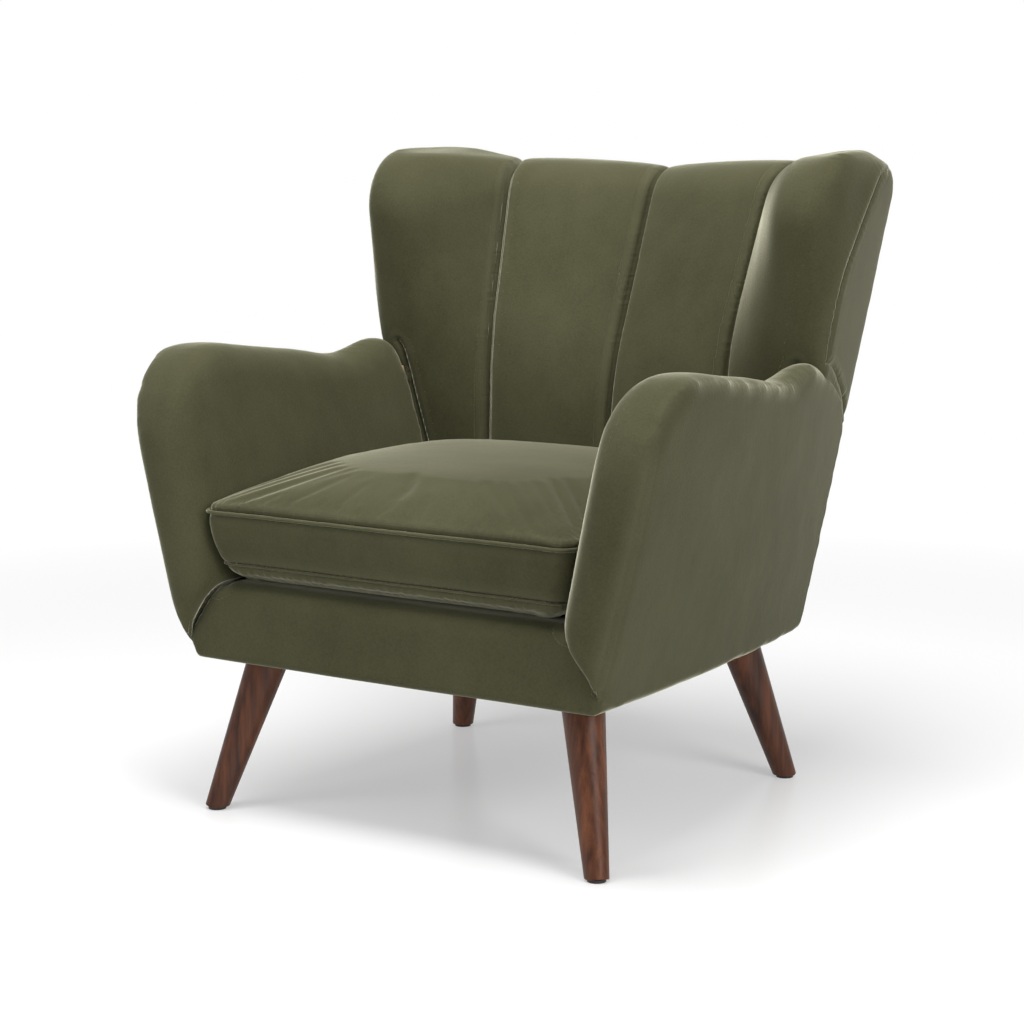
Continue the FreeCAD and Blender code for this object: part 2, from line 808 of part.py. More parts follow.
rail_under = s.top_rail_top - s.top_rail_height
back_post = leaning_board(post_centre(rail_level), post_centre(rail_under), s.post_side, s.post_side)
pair("back_post", back_post)
posts = back_post.fuse(back_post.mirror(Vector(), Vector(1, 0, 0)))

top_middle = barrel_radius(rail_under, s.post_inset)
top_rail = curved_rail(
    top_middle - s.top_rail_thickness / 2,
    top_middle + s.top_rail_thickness / 2,
    rail_under,
    s.top_rail_top,
    s.back_rail_half_angle,
)
solid_node("back_top_rail", top_rail)

low_rail_top = s.low_rail_bottom + s.low_rail_height
low_middle = barrel_radius(low_rail_top, s.post_inset)
low_rail = curved_rail(
    low_middle - s.top_rail_thickness / 2,
    low_middle + s.top_rail_thickness / 2,
    s.low_rail_bottom,
    low_rail_top,
    s.post_bottom_angle,
).cut(posts)
low_rail = max(low_rail.Solids, key=lambda solid: solid.Volume)
solid_node("back_low_rail", low_rail)

stile_low = on_fan(low_middle, 0, low_rail_top)
stile_high = on_fan(top_middle, 0, rail_under)
stile = leaning_board(stile_low, stile_high, s.stile_width, s.top_rail_thickness)
solid_node("back_stile", stile)


def wing_board_centre(z):
    """Middle of the wing board at height z: it lies against the post's outer face."""
    post = post_centre(z)
    rear_edge = post.y + s.post_side / 2
    return Vector(
        post.x + s.post_side / 2 + s.wing_board_thickness / 2, rear_edge - s.wing_board_depth / 2, z
    )


wing_board = leaning_board(
    wing_board_centre(s.wing_board_bottom),
    wing_board_centre(rail_under),
    s.wing_board_thickness,
    s.wing_board_depth,
)
pair("wing_board", wing_board)

# arm frame: a leaning post behind the nose and a rail back to the back post
arm_post_y = -s.arm_nose_reach + s.arm_post_setback + s.arm_nose_depth / 2 + s.arm_post_depth / 2
arm_rail_bottom = s.arm_rail_top - s.arm_rail_height


def arm_post_centre(z):
    """Middle of the arm post at height z, which keeps its padding from the outer face."""
    low_x = side_rail_face(arm_post_y) - s.arm_post_thickness / 2
    high_x = side_x(arm_post_y, arm_rail_bottom) - s.rail_padding - s.arm_post_thickness / 2
    share = (z - rail_level) / (arm_rail_bottom - rail_level)
    return Vector(low_x + (high_x - low_x) * share, arm_post_y, z)


arm_post = leaning_board(
    arm_post_centre(rail_level), arm_post_centre(arm_rail_bottom), s.arm_post_thickness, s.arm_post_depth
)
pair("arm_post", arm_post)

rail_start = arm_post_centre(arm_rail_bottom)
rail_end = post_centre(s.arm_rail_top)
rail_let_in = 8
rail_inner_x = rail_end.x + s.post_side / 2 - rail_let_in
half_rail = s.arm_rail_width / 2
arm_rail = prism(
    [
        Vector(rail_start.x - half_rail, rail_start.y - s.arm_post_depth / 2, arm_rail_bottom),
        Vector(rail_start.x + half_rail, rail_start.y - s.arm_post_depth / 2, arm_rail_bottom),
        Vector(rail_inner_x + s.arm_rail_width, rail_end.y, arm_rail_bottom),
        Vector(rail_inner_x, rail_end.y, arm_rail_bottom),
    ],
    UP * s.arm_rail_height,
).cut(back_post)
arm_rail = max(arm_rail.Solids, key=lambda solid: solid.Volume)
pair("arm_rail", arm_rail)

right_frame = [back_post, wing_board, arm_post, arm_rail, top_rail, low_rail]

# seat suspension: sinuous springs between clips on the front and rear rails
spring_level = rail_level - s.spring_drop
spring_front = front_rail_rear + 6
spring_rear = rear_rail_inner - s.fan_distance - 34


def spring_path(x_middle):
    """Zigzag wire path of half turns joined by straight runs, in one level plane."""
    loops = int((spring_rear - spring_front) / (2 * s.spring_loop))
    step = (spring_rear - spring_front) / loops
    half = s.spring_half_width
    edges = []
    y = spring_front
    side = 1
    edges.append(
        Part.makeLine(Vector(x_middle - half, y, spring_level), Vector(x_middle + half, y, spring_level))
    )
    for _ in range(loops):
        a = Vector(x_middle + side * half, y, spring_level)
        b = Vector(x_middle + side * half, y + step, spring_level)
        mid = Vector(x_middle + side * (half + step / 2), y + step / 2, spring_level)
        edges.append(Part.Arc(a, mid, b).toShape())
        side = -side
        y += step
        edges.append(Part.makeLine(b, Vector(x_middle + side * half, y, spring_level)))
    return Part.Wire(edges)


def wire_tube(path, diameter):
    """Round wire swept along a path of lines and arcs."""
    first = path.Edges[0]
    start = first.valueAt(first.FirstParameter)
    heading = first.tangentAt(first.FirstParameter)
    circle = Part.Wire(Part.makeCircle(diameter / 2, start, heading))
    return path.makePipeShell([circle], True, False)


springs, clips = [], []
clip_low = spring_level - s.spring_wire
clip_high = rail_level - s.pad_gap
clip_base = Vector(0, -s.fan_distance, clip_low)
rear_rail_front = Part.makeCylinder(rear_rail_inner, clip_high - clip_low, clip_base, UP)
for i in range(int(s.spring_count)):
    x_middle = (i - (s.spring_count - 1) / 2) * s.spring_pitch
    springs.append(wire_tube(spring_path(x_middle), s.spring_wire))
    half = s.clip_width / 2
    eye = s.spring_wire / 2 + 0.15
    for wire_y, y_low, y_high in (
        (spring_front, front_rail_rear, spring_front + s.spring_wire),
        (spring_rear, spring_rear - s.spring_wire, rear_rail_inner - s.fan_distance + 1),
    ):
        clip = block(Vector(x_middle - half, y_low, clip_low), Vector(x_middle + half, y_high, clip_high))
        bore_start = Vector(x_middle - half - 1, wire_y, spring_level)
        bore = Part.makeCylinder(eye, s.clip_width + 2, bore_start, Vector(1, 0, 0))
        clips.append(clip.cut(bore).common(rear_rail_front))
solid_node("seat_springs", Part.makeCompound(springs))
solid_node("spring_clips", Part.makeCompound(clips))

# hessian over the springs, the deck pad and its cover
arm_posts = arm_post.fuse(arm_post.mirror(Vector(), Vector(1, 0, 0)))
hessian = frame_limit(rail_level, deck_base)
for upright in (posts, arm_posts):
    hessian = hessian.cut(upright)
solid_node("hessian", hessian)

deck_top = deck_base + s.deck_pad_thickness
deck_half = arm_inner_x(deck_base) - s.deck_side_gap
deck_front = -s.rail_pad_rear + s.pad_gap
solid_node(
    "deck_pad", block(Vector(-deck_half, deck_front, deck_base), Vector(deck_half, s.deck_rear, deck_top))
)
solid_node(
    "deck_cover",
    block(Vector(-deck_half, deck_front, deck_top), Vector(deck_half, s.deck_rear, deck_top + cover)),
)

# elastic straps across the back, in front of the posts
strap_inset = s.post_inset + s.post_side * 0.66
low_strap = low_rail_top + 12
straps = []
for i in range(int(s.strap_count)):
    low = low_strap + i * s.strap_spacing - i * 4
    high = low + s.strap_height - 14
    strap = barrel(strap_inset, low, high).cut(barrel(strap_inset + s.strap_thickness, low, high))
    sector = curved_rail(400, 1200, low, high, s.post_bottom_angle)
    straps.append(strap.common(sector))
solid_node("back_straps", Part.makeCompound(straps))


# back padding and covers
rear_seam = 815
strap_face = strap_inset + s.strap_thickness + s.pad_gap
cavity = barrel_ring(strap_face, pad_foot - 2, s.top_rail_top + s.pad_gap)
cavity = cavity.common(curved_rail(400, 1200, pad_foot - 2, s.top_rail_top + s.pad_gap, s.post_bottom_angle))
cover_rear_cut = barrel_ring(3 * cover + 6, pad_foot - 2, rear_seam)

channel_outer = channel_form(0)
channel_lining = channel_form(cover)
pair("channel_pad", channel_form(pad_inset).cut(cavity))
pair("channel_cover", channel_outer.cut(channel_lining).cut(cover_rear_cut))

wing_outer = wing_form(0)
wing_pad = wing_form(pad_inset + s.pad_gap).common(pad_limit).cut(cavity)
for board in right_frame:
    wing_pad = wing_pad.cut(board)
pair("wing_pad", wing_pad)
wing_cover = wing_outer.common(inner_skin).cut(wing_form(cover)).cut(cover_rear_cut).cut(arm_rail)
pair("wing_cover", wing_cover)

outside_top = rear_seam - s.pad_gap
outside_back = barrel(0, s.body_bottom, outside_top).cut(barrel(cover, s.body_bottom, outside_top))
outside_back = outside_back.common(both_sides(inner_skin))
outside_back = outside_back.common(block(Vector(-FAR, 0, 0), Vector(FAR, FAR, SKY)))
solid_node("outside_back", outside_back)

# arm padding, inside covers and outside panels
rail_rear_y = -s.rail_pad_rear
in_front = block(Vector(-FAR, -FAR, 0), Vector(FAR, rail_rear_y, SKY))
rail_cut = rail_outline(-s.pad_gap, rail_bottom - 8).common(in_front)
seat_box = frame_limit(0, pad_foot)
wing_clear = wing_form(-s.pad_gap)
above_rails = block(Vector(-FAR, -FAR, rail_bottom), Vector(FAR, FAR, SKY))

arm_outer = arm_form(0)
arm_pad = arm_form(pad_inset, open_sides=True).common(pad_limit).common(above_rails)
for cutter in (wing_clear, rail_cut, seat_box, *right_frame):
    arm_pad = arm_pad.cut(cutter)
pair("arm_pad", arm_pad)
arm_cover = arm_outer.cut(arm_form(cover, open_sides=True)).common(inner_skin)
for cutter in (wing_clear, rail_cut, seat_box):
    arm_cover = arm_cover.cut(cutter)
pair("arm_cover", arm_cover)



def side_outline():
    """Upright outline of the outside panel: round the nose, along the arm's top and down behind it."""
    low = s.body_bottom - 5
    front = -s.arm_nose_reach + s.arm_seam_setback
    first_angle = math.degrees(math.acos(1 - s.arm_seam_setback / s.arm_nose_top_depth))
    points = []
    for i in range(8):
        turn = math.radians(first_angle + (90 - first_angle) * i / 7)
        y = -s.arm_nose_reach + s.arm_nose_top_depth * (1 - math.cos(turn))
        points.append((y, arm_top(y) - s.arm_nose_drop * (1 - math.sin(turn)) - 1))
    for i in range(1, 8):
        y = points[7][0] + (s.arm_seam_y - 30 - points[7][0]) * i / 7
        points.append((y, arm_top(y) - 1))
    behind = [(s.arm_seam_y, 601), (166, 593), (203, 573), (238, 549), (264, 522), (282, 488), (292, 450)]
    top_line = Part.BSplineCurve()
    top_line.interpolate([Vector(0, y, z) for y, z in points + behind])
    corners = [(292, low), (-s.front_reach, low), (-s.front_reach, s.body_bottom), (front, s.body_bottom + 30)]
    straight = Part.makePolygon([Vector(0, y, z) for y, z in behind[-1:] + corners + points[:1]])
    return Part.Face(Part.Wire([top_line.toShape(), *straight.Edges]))


side_zone = side_outline().extrude(Vector(FAR, 0, 0)).common(barrel(0))
above_floor = block(Vector(-FAR, -FAR, s.body_bottom), Vector(FAR, FAR, SKY))
pair("side_panel", skin_shell.common(side_zone).common(above_floor))
pair("wing_band", skin_shell.common(wing_outer).common(barrel(0)).cut(side_zone))

# front rail padding and cover
rail_pad = rail_form(pad_inset, rail_bottom, rail_rear_y).common(both_sides(pad_limit))
seat_box_low = frame_limit(0, deck_base)
for cutter in (front_rail.Shape, seat_box_low, arm_posts):
    rail_pad = rail_pad.cut(cutter)
solid_node("front_rail_pad", rail_pad)
rail_outer = rail_form(0, s.body_bottom, rail_rear_y)
rail_cover = rail_outer.cut(rail_form(cover, s.body_bottom - 10, rail_rear_y + 10))
rail_cover = rail_cover.common(both_sides(inner_skin)).cut(arm_posts).cut(seat_box_low)
solid_node("front_rail_cover", rail_cover)

dust_cover = frame_limit(rail_bottom - 1.5, rail_bottom)
for plate in plates:
    dust_cover = dust_cover.cut(plate)
for hole in bolt_holes:
    dust_cover = dust_cover.cut(hole)
solid_node("dust_cover", dust_cover)


# seat cushion: a boxed cushion with a domed top and a fuller underside
def cushion_loop(z, inset):
    """Level outline of the cushion's boxing at height z, less an inset."""
    share = (z - s.cushion_low_seam) / (s.cushion_top_seam - s.cushion_low_seam)
    share = min(1.0, max(0.0, share))
    swell = 4 * s.cushion_swell * share * (1 - share)
    half = s.cushion_low_half_width + (s.cushion_top_half_width - s.cushion_low_half_width) * share
    half += swell - inset
    front = s.cushion_front - s.cushion_low_setback * (1 - share) + swell - inset
    rear = s.cushion_rear + swell - inset
    middle = (rear - front) / 2
    ear = half + s.cushion_front_ear
    points = [
        Vector(-ear, -front, z),
        Vector(0, -front - s.cushion_front_bow, z),
        Vector(ear, -front, z),
        Vector(half + s.cushion_side_bow, middle, z),
        Vector(half, rear, z),
        Vector(-half, rear, z),
        Vector(-half - s.cushion_side_bow, middle, z),
    ]
    front_round = max(12.0, s.cushion_front_round - inset)
    rear_round = max(12.0, s.cushion_rear_round - inset)
    return rounded_loop(points, [front_round, SKY, front_round, SKY, rear_round, rear_round, SKY])


def dome(seam, height, reach, inset, angles):
    """Padded panel that rises or falls from a seam in a quarter ellipse."""
    loops = []
    for angle in angles:
        turn = math.radians(angle)
        loop = cushion_loop(seam, inset + reach * (1 - math.cos(turn)))
        loop.translate(UP * (height * math.sin(turn)))
        loops.append(loop)
    return Part.makeLoft(loops, True, False)


cushion_bottom = deck_top + cover + s.pad_gap
crown_reach, under_reach = 110, 58
top_angles = (0, 14, 30, 48, 66, 82)
low_angles = (0, 25, 50, 75, 90)


def top_dome(inset):
    """Crowned top of the cushion above its upper seam."""
    height = s.cushion_crown - s.cushion_top_seam - inset
    return dome(s.cushion_top_seam, height, crown_reach, inset, top_angles)


def low_dome(inset):
    """Plump underside of the cushion, flat where it rests on the deck."""
    height = -(s.cushion_low_seam - cushion_bottom - inset)
    return dome(s.cushion_low_seam, height, under_reach, inset, low_angles)


def boxing_form(inset, extra=0.0):
    """Boxing between the two seams, run on by extra at both."""
    low, high = s.cushion_low_seam, s.cushion_top_seam
    loops = []
    for share in (0, 0.5, 1):
        loop = cushion_loop(low + (high - low) * share, inset)
        loop.translate(UP * (extra * (2 * share - 1)))
        loops.append(loop)
    return Part.makeLoft(loops, True, False)


fabric = s.cushion_fabric
filling_inset = fabric + s.pad_gap
piping_out = s.piping_diameter / 3


def piping(z):
    """Piping cord laid along the seam at height z."""
    return wire_tube(cushion_loop(z, -piping_out), s.piping_diameter)


top_piping = piping(s.cushion_top_seam)
low_piping = piping(s.cushion_low_seam)
solid_node("piping_upper", top_piping)
solid_node("piping_lower", low_piping)

top_panel = top_dome(0).cut(top_dome(fabric)).cut(top_piping)
solid_node("cushion_top_panel", top_panel)
low_panel = low_dome(0).cut(low_dome(fabric)).cut(low_piping)
solid_node("cushion_bottom_panel", low_panel)

tape_half_height = s.zip_tape_height / 2
tape_zone = block(
    Vector(-s.zip_length / 2, 0, s.zip_level - tape_half_height),
    Vector(s.zip_length / 2, FAR, s.zip_level + tape_half_height),
)
boxing = boxing_form(0).cut(boxing_form(fabric, 1)).cut(top_piping).cut(low_piping)
solid_node("zip_tape", boxing.common(tape_zone))
solid_node("cushion_boxing", boxing.cut(tape_zone))

topper_inset = filling_inset + s.topper_thickness
topper = top_dome(filling_inset).cut(top_dome(topper_inset))
solid_node("cushion_topper", topper)
core = boxing_form(filling_inset).fuse(low_dome(filling_inset))
core = core.fuse(top_dome(topper_inset + s.pad_gap)).removeSplitter()
solid_node("cushion_core", core)

# zip slider and its pull, on the rear of the boxing
share = (s.zip_level - s.cushion_low_seam) / (s.cushion_top_seam - s.cushion_low_seam)
tape_y = s.cushion_rear + 4 * s.cushion_swell * share * (1 - share)
slider_x = -s.zip_length / 2 + s.slider_margin
slider_low_y = tape_y + s.pad_gap
slider_y = slider_low_y + s.slider_thickness
backward = Vector(0, 1, 0)
slider = block(
    Vector(slider_x - s.slider_length / 2, slider_low_y, s.zip_level - s.slider_height / 2),
    Vector(slider_x + s.slider_length / 2, slider_y, s.zip_level + s.slider_height / 2),
)
long_edges = [edge for edge in slider.Edges if abs(edge.tangentAt(edge.FirstParameter).y) > 0.9]
slider = slider.makeFillet(1.0, long_edges)
pin_side = 0.2
pin_length = s.pull_thickness + 2 * pin_side
pin_head = 0.7
pin_at = Vector(slider_x, slider_y, s.zip_level)
pin = Part.makeCylinder(s.pull_pin_diameter / 2, pin_length + pin_head, pin_at, backward)
head = Part.makeCylinder(s.pull_pin_diameter, pin_head, pin_at + backward * pin_length, backward)
solid_node("zip_slider", slider.fuse(pin).fuse(head).removeSplitter())

pull_y = slider_y + pin_side
half_pull = s.pull_width / 2
eye_end = Part.makeCylinder(half_pull, s.pull_thickness, Vector(slider_x, pull_y, s.zip_level), backward)
tab_end_z = s.zip_level - s.pull_length + half_pull
tab_end = Part.makeCylinder(half_pull, s.pull_thickness, Vector(slider_x, pull_y, tab_end_z), backward)
tab = block(
    Vector(slider_x - half_pull, pull_y, tab_end_z),
    Vector(slider_x + half_pull, pull_y + s.pull_thickness, s.zip_level),
)
eye_start = Vector(slider_x, pull_y - 1, s.zip_level)
eye = Part.makeCylinder(s.pull_pin_hole / 2, 3 * s.pull_thickness, eye_start, backward)
solid_node("zip_pull", eye_end.fuse(tab).fuse(tab_end).removeSplitter().cut(eye))


# recompute, check and write
doc.recompute()
faults = [o.Name for o in doc.Objects if {"Invalid", "Error"} & set(o.State)]
for name, feature in nodes.items():
    shape = feature.Shape
    if shape.isNull() or not shape.isValid() or not shape.Solids:
        faults.append(name)
if faults:
    raise SystemExit("failed: " + ", ".join(faults))

os.makedirs("parts", exist_ok=True)
for name, feature in nodes.items():
    feature.Shape.exportStep(f"parts/{name}.step")
print(len(nodes), "sub-parts written")
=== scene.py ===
"""Visible surfaces of a wing-backed lounge chair in velvet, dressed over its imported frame."""

import logging
import math
from collections.abc import Callable, Iterable, Iterator, Sequence
from contextlib import contextmanager
from dataclasses import dataclass, field
from enum import Enum
from functools import cached_property, partial, reduce
from typing import NamedTuple

import bmesh
import bpy
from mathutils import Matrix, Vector, noise
from mathutils.bvhtree import BVHTree
from mathutils.kdtree import KDTree


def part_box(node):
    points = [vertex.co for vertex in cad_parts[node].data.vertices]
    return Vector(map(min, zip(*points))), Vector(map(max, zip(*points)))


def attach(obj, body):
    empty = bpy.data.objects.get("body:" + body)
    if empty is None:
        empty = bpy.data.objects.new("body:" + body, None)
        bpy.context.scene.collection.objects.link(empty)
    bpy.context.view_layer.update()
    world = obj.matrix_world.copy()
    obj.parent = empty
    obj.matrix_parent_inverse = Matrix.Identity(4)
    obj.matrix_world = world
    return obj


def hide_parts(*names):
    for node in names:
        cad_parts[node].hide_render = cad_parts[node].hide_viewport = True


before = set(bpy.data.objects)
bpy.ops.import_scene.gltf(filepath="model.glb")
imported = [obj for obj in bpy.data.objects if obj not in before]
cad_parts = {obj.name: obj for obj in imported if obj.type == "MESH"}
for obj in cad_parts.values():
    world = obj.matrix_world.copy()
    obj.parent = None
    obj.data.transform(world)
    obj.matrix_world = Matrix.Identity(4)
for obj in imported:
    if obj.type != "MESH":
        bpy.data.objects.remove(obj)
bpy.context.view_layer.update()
log = logging.getLogger("lounge_chair")

Colour = tuple[float, float, float]
Pair = tuple[float, float]
Mesh = bmesh.types.BMesh
Socket = bpy.types.NodeSocket
Object = bpy.types.Object
Movement = Callable[[Vector], Vector]
Amount = Callable[[Vector], float]

UP = Vector((0, 0, 1))
REARWARD = Vector((0, 1, 0))
WHITE = (1.0, 1.0, 1.0, 1.0)
# Points nearer than this are one point.
MERGE_DISTANCE = 2e-6
# The shortest edge that has a direction, and how near a cut takes in a point.
LEAST_EDGE = 1e-7
CUT_DISTANCE = 1e-5
# A face is on a panel's outer side when its normal leans this much that way.
OUTWARD_LEAN = 0.6
# Depth of the slab that backs each thin outer panel.
SLAB_DEPTH = 0.012
# How far one pass of smoothing moves a point towards its neighbours.
SMOOTHING = 0.5
# The distance to a seam where there is none.
NO_SEAM = 1.0


class Side(Enum):
    """The two sides of the chair, as the sign of X."""

    RIGHT = 1
    LEFT = -1

    def __str__(self) -> str:
        """The side's name as the frame's nodes end with it."""
        return self.name.lower()

    @property
    def other(self) -> "Side":
        """The opposite side."""
        return Side(-self.value)

    @property
    def outward(self) -> Movement:
        """The way out through this side, the same at every point."""
        return everywhere(Vector((self.value, 0.0, 0.0)))


class Body(Enum):
    """The moving bodies that a piece can ride on."""

    CHAIR = "chair"
    CUSHION = "cushion"


def portion(part: float, whole: float) -> float:
    """How much of the whole a part is, kept from 0 to 1."""
    return min(1.0, max(0.0, part / whole))


def everywhere(value: object) -> Callable[[Vector], object]:
    """A function of place that has one value everywhere."""
    return lambda spot: value


class Graph:
    """The nodes of a material or a world, with short calls that add and join them."""

    def __init__(self, owner: bpy.types.ID, shader: str = "Principled BSDF") -> None:
        """Starts the nodes of an owner, whose surface is one shader."""
        owner.use_nodes = True
        self.owner = owner
        self.tree = owner.node_tree
        self.shader = self.tree.nodes[shader]

    @cached_property
    def place(self) -> Socket:
        """The place on the object, added when it is first asked for."""
        return self.node("TexCoord").outputs["Object"]

    def join(self, source: Socket, target: Socket) -> None:
        """Joins an output to an input."""
        self.tree.links.new(source, target)

    def feed(self, node: bpy.types.Node, values: dict[str | int, object]) -> None:
        """Joins a node's inputs, by name or number, to other nodes or sets their own values."""
        for key, value in values.items():
            socket = node.inputs[key.replace("_", " ") if isinstance(key, str) else key]
            if isinstance(value, Socket):
                self.join(value, socket)
            else:
                socket.default_value = value

    def node(self, kind: str, *first: object, **named: object) -> bpy.types.Node:
        """Adds a node.

        Args:
            kind: The node's type, without ShaderNode before it.
            first: What goes into its first inputs.
            named: What goes into other inputs, whose names have _ for a space.
        """
        node = self.tree.nodes.new(f"ShaderNode{kind}")
        self.feed(node, dict(enumerate(first)) | named)
        return node

    def surface(self, **named: object) -> None:
        """Feeds the surface shader's inputs, each by its name."""
        self.feed(self.shader, named)

    def cloud(self, place: Socket, scale: float, detail: float = 2.0) -> Socket:
        """Adds cloudy noise from 0 to 1, of so many waves per metre, that is read at a place."""
        return self.node("TexNoise", Vector=place, Scale=scale, Detail=detail).outputs["Fac"]

    def noise(self, scale: float, detail: float = 2.0, stretch: Sequence[float] = (1, 1, 1)) -> Socket:
        """Adds cloudy noise over the object, with a scale of its own along each axis."""
        return self.cloud(self.node("Mapping", Vector=self.place, Scale=stretch).outputs[0], scale, detail)

    def strip_noise(self, along: Socket, across: Socket, scale: float, drawn: float) -> Socket:
        """Adds gathers that leave a seam: noise along it, of so many per metre, drawn out across it."""
        return self.cloud(self.node("CombineXYZ", along, self.times(across, drawn)).outputs[0], scale)

    def wave(self, scale: float, axis: str, distortion: float) -> Socket:
        """Adds wandering bands from 0 to 1 across one axis, of 20 radians per metre at scale 1."""
        bands = self.node("TexWave", Vector=self.place, Scale=scale, Distortion=distortion)
        bands.bands_direction = axis
        return bands.outputs["Fac"]

    def math(self, operation: str, first: object, second: object = 0.0) -> Socket:
        """Adds one step of arithmetic and returns its result."""
        step = self.node("Math", first, second)
        step.operation = operation
        return step.outputs[0]

    def times(self, first: object, second: object) -> Socket:
        """Multiplies two values."""
        return self.math("MULTIPLY", first, second)

    def total(self, *weighed: tuple[Socket, float]) -> Socket:
        """Adds up values, each times its weight."""
        return reduce(partial(self.math, "ADD"), [self.times(value, weight) for value, weight in weighed])

    def seen_by(self, *rays: str) -> Socket:
        """Says 1 to the named kinds of ray and 0 to the rest."""
        path = self.node("LightPath")
        return reduce(partial(self.math, "MAXIMUM"), [path.outputs[f"Is {ray} Ray"] for ray in rays])

    def ramp(self, value: Socket, *stops: tuple[float, Colour]) -> Socket:
        """Adds a colour ramp, with the position and linear colour of each stop."""
        ramp = self.node("ValToRGB", value)
        elements = ramp.color_ramp.elements
        while len(elements) < len(stops):
            elements.new(0.5)
        for element, (position, colour) in zip(elements, stops):
            element.position = position
            element.color = (*colour, 1.0)
        return ramp.outputs["Color"]

    def span(self, value: Socket, low: float, high: float, start: float, end: float) -> Socket:
        """Adds a clamped change of range, from low and high to start and end."""
        change = self.node("MapRange", value, From_Min=low, From_Max=high, To_Min=start, To_Max=end)
        return change.outputs["Result"]

    def fade(self, value: Socket, low: float, high: float) -> Socket:
        """Falls from 1 at the low value to 0 at the high one."""
        return self.span(value, low, high, 1.0, 0.0)

    def mix(self, amount: Socket, first: Socket, second: Colour) -> Socket:
        """Adds a mix of a colour with a plain one and returns it."""
        mix = self.node("Mix")
        mix.data_type = "RGBA"
        numbers = [number for number, socket in enumerate(mix.inputs) if socket.enabled]
        self.feed(mix, dict(zip(numbers, (amount, first, (*second, 1.0)))))
        return next(socket for socket in mix.outputs if socket.enabled)

    def attribute(self, name: str) -> Socket:
        """Reads a number that the mesh keeps at its points."""
        reader = self.node("Attribute")
        reader.attribute_name = name
        return reader.outputs["Fac"]

    def bumped(self, *heights: tuple[Socket, float]) -> bpy.types.ID:
        """Adds a relief, of heights from 0 to 1 with depths in metres, and returns the material."""
        last = None
        for height, depth in heights:
            relief = self.node("Bump", Strength=1.0, Distance=depth, Height=height)
            if last is not None:
                self.join(last, relief.inputs["Normal"])
            last = relief.outputs["Normal"]
        self.surface(Normal=last)
        return self.owner


def paint(name: str) -> Graph:
    """The nodes of a new material."""
    return Graph(bpy.data.materials.new(name))


@dataclass(frozen=True)
class Velvet:
    """Short-piled cotton velvet in olive green, with its lengths in metres from a seam."""

    deep: Colour = (0.051, 0.050, 0.024)
    worn: Colour = (0.078, 0.076, 0.040)
    # Colour of the painted highlight on the lip beside a seam.
    rubbed: Colour = (0.21, 0.205, 0.13)
    shade: Colour = (0.014, 0.014, 0.007)
    roughness: Pair = (0.84, 0.96)
    valley_wall: Pair = (0.0002, 0.0014)
    valley_end: Pair = (0.003, 0.005)
    valley_shade: float = 0.55
    lip_start: Pair = (0.0014, 0.003)
    lip_end: Pair = (0.003, 0.02)
    lip_rubbing: float = 0.12
    fold_end: Pair = (0.0015, 0.016)
    folds_per_metre: float = 150.0
    fold_drawn: float = 0.12

    def material(self) -> bpy.types.ID:
        """Builds the velvet: brushed pile, gathers, painted shade in each seam's valley and a painted
        highlight on the lip beside it.
        """
        graph = paint("velvet")
        strokes, pile = graph.noise(4.0), graph.noise(1500.0)
        brushed = graph.noise(30.0, 3.0, (1, 1, 0.7))
        fibres = graph.noise(380.0, 3.0)
        tone = graph.total((strokes, 0.4), (brushed, 0.25), (fibres, 0.35))
        across = graph.math("ABSOLUTE", graph.attribute("seam_across"))
        reach = graph.attribute("seam_reach")
        valley = graph.times(graph.fade(across, *self.valley_wall), graph.fade(reach, *self.valley_end))
        # Painted highlight: the lip, a band about 1.4 to 20 mm from a seam, is mixed towards a lighter colour
        # in place of light catching its rounded edge.
        lip = graph.times(graph.span(reach, *self.lip_start, 0.0, 1.0), graph.fade(reach, *self.lip_end))
        colour = graph.ramp(tone, (0.36, self.deep), (0.64, self.worn))
        colour = graph.mix(graph.times(lip, self.lip_rubbing), colour, self.rubbed)
        colour = graph.mix(graph.times(valley, self.valley_shade), colour, self.shade)
        folds = graph.strip_noise(graph.attribute("seam_along"), reach, self.folds_per_metre, self.fold_drawn)
        folds = graph.times(folds, graph.fade(reach, *self.fold_end))
        graph.surface(Base_Color=colour, Roughness=graph.span(brushed, 0.3, 0.7, *self.roughness))
        graph.surface(Sheen_Weight=1.0, Sheen_Roughness=0.30, Sheen_Tint=(1.0, 0.98, 0.75, 1.0))
        graph.surface(Specular_IOR_Level=0.12)
        relief = ((strokes, 0.002), (folds, 0.0016), (brushed, 0.0003), (fibres, 0.0002), (pile, 0.0001))
        return graph.bumped(*relief, (valley, -0.0009))


@dataclass(frozen=True)
class Walnut:
    """Oiled walnut, whose grain runs up the legs."""

    dark: Colour = (0.034, 0.0105, 0.0045)
    light: Colour = (0.215, 0.072, 0.030)
    middle_divisor: float = 2.3
    pore_darkness: float = 0.5

    def material(self) -> bpy.types.ID:
        """Builds the walnut: broad figure, fine grain and pores under a thin finish."""
        graph = paint("leg_walnut")
        figure = graph.noise(16.0, 4.0, (1, 1, 0.16))
        grain = graph.noise(130.0, 5.0, (1, 1, 0.035))
        pores = graph.span(graph.noise(900.0, 2.0, (1, 1, 0.02)), 0.62, 0.7, 0.0, 1.0)
        tone = graph.total((figure, 0.45), (grain, 0.55))
        middle = tuple((a + b) / self.middle_divisor for a, b in zip(self.dark, self.light))
        colour = graph.ramp(tone, (0.34, self.dark), (0.5, middle), (0.68, self.light))
        colour = graph.mix(graph.times(pores, self.pore_darkness), colour, self.dark)
        graph.surface(Base_Color=colour, Roughness=graph.span(grain, 0.3, 0.7, 0.36, 0.52))
        graph.surface(Specular_IOR_Level=0.3, Coat_Weight=0.08, Coat_Roughness=0.3)
        return graph.bumped((grain, 0.0002), (pores, -0.0001))


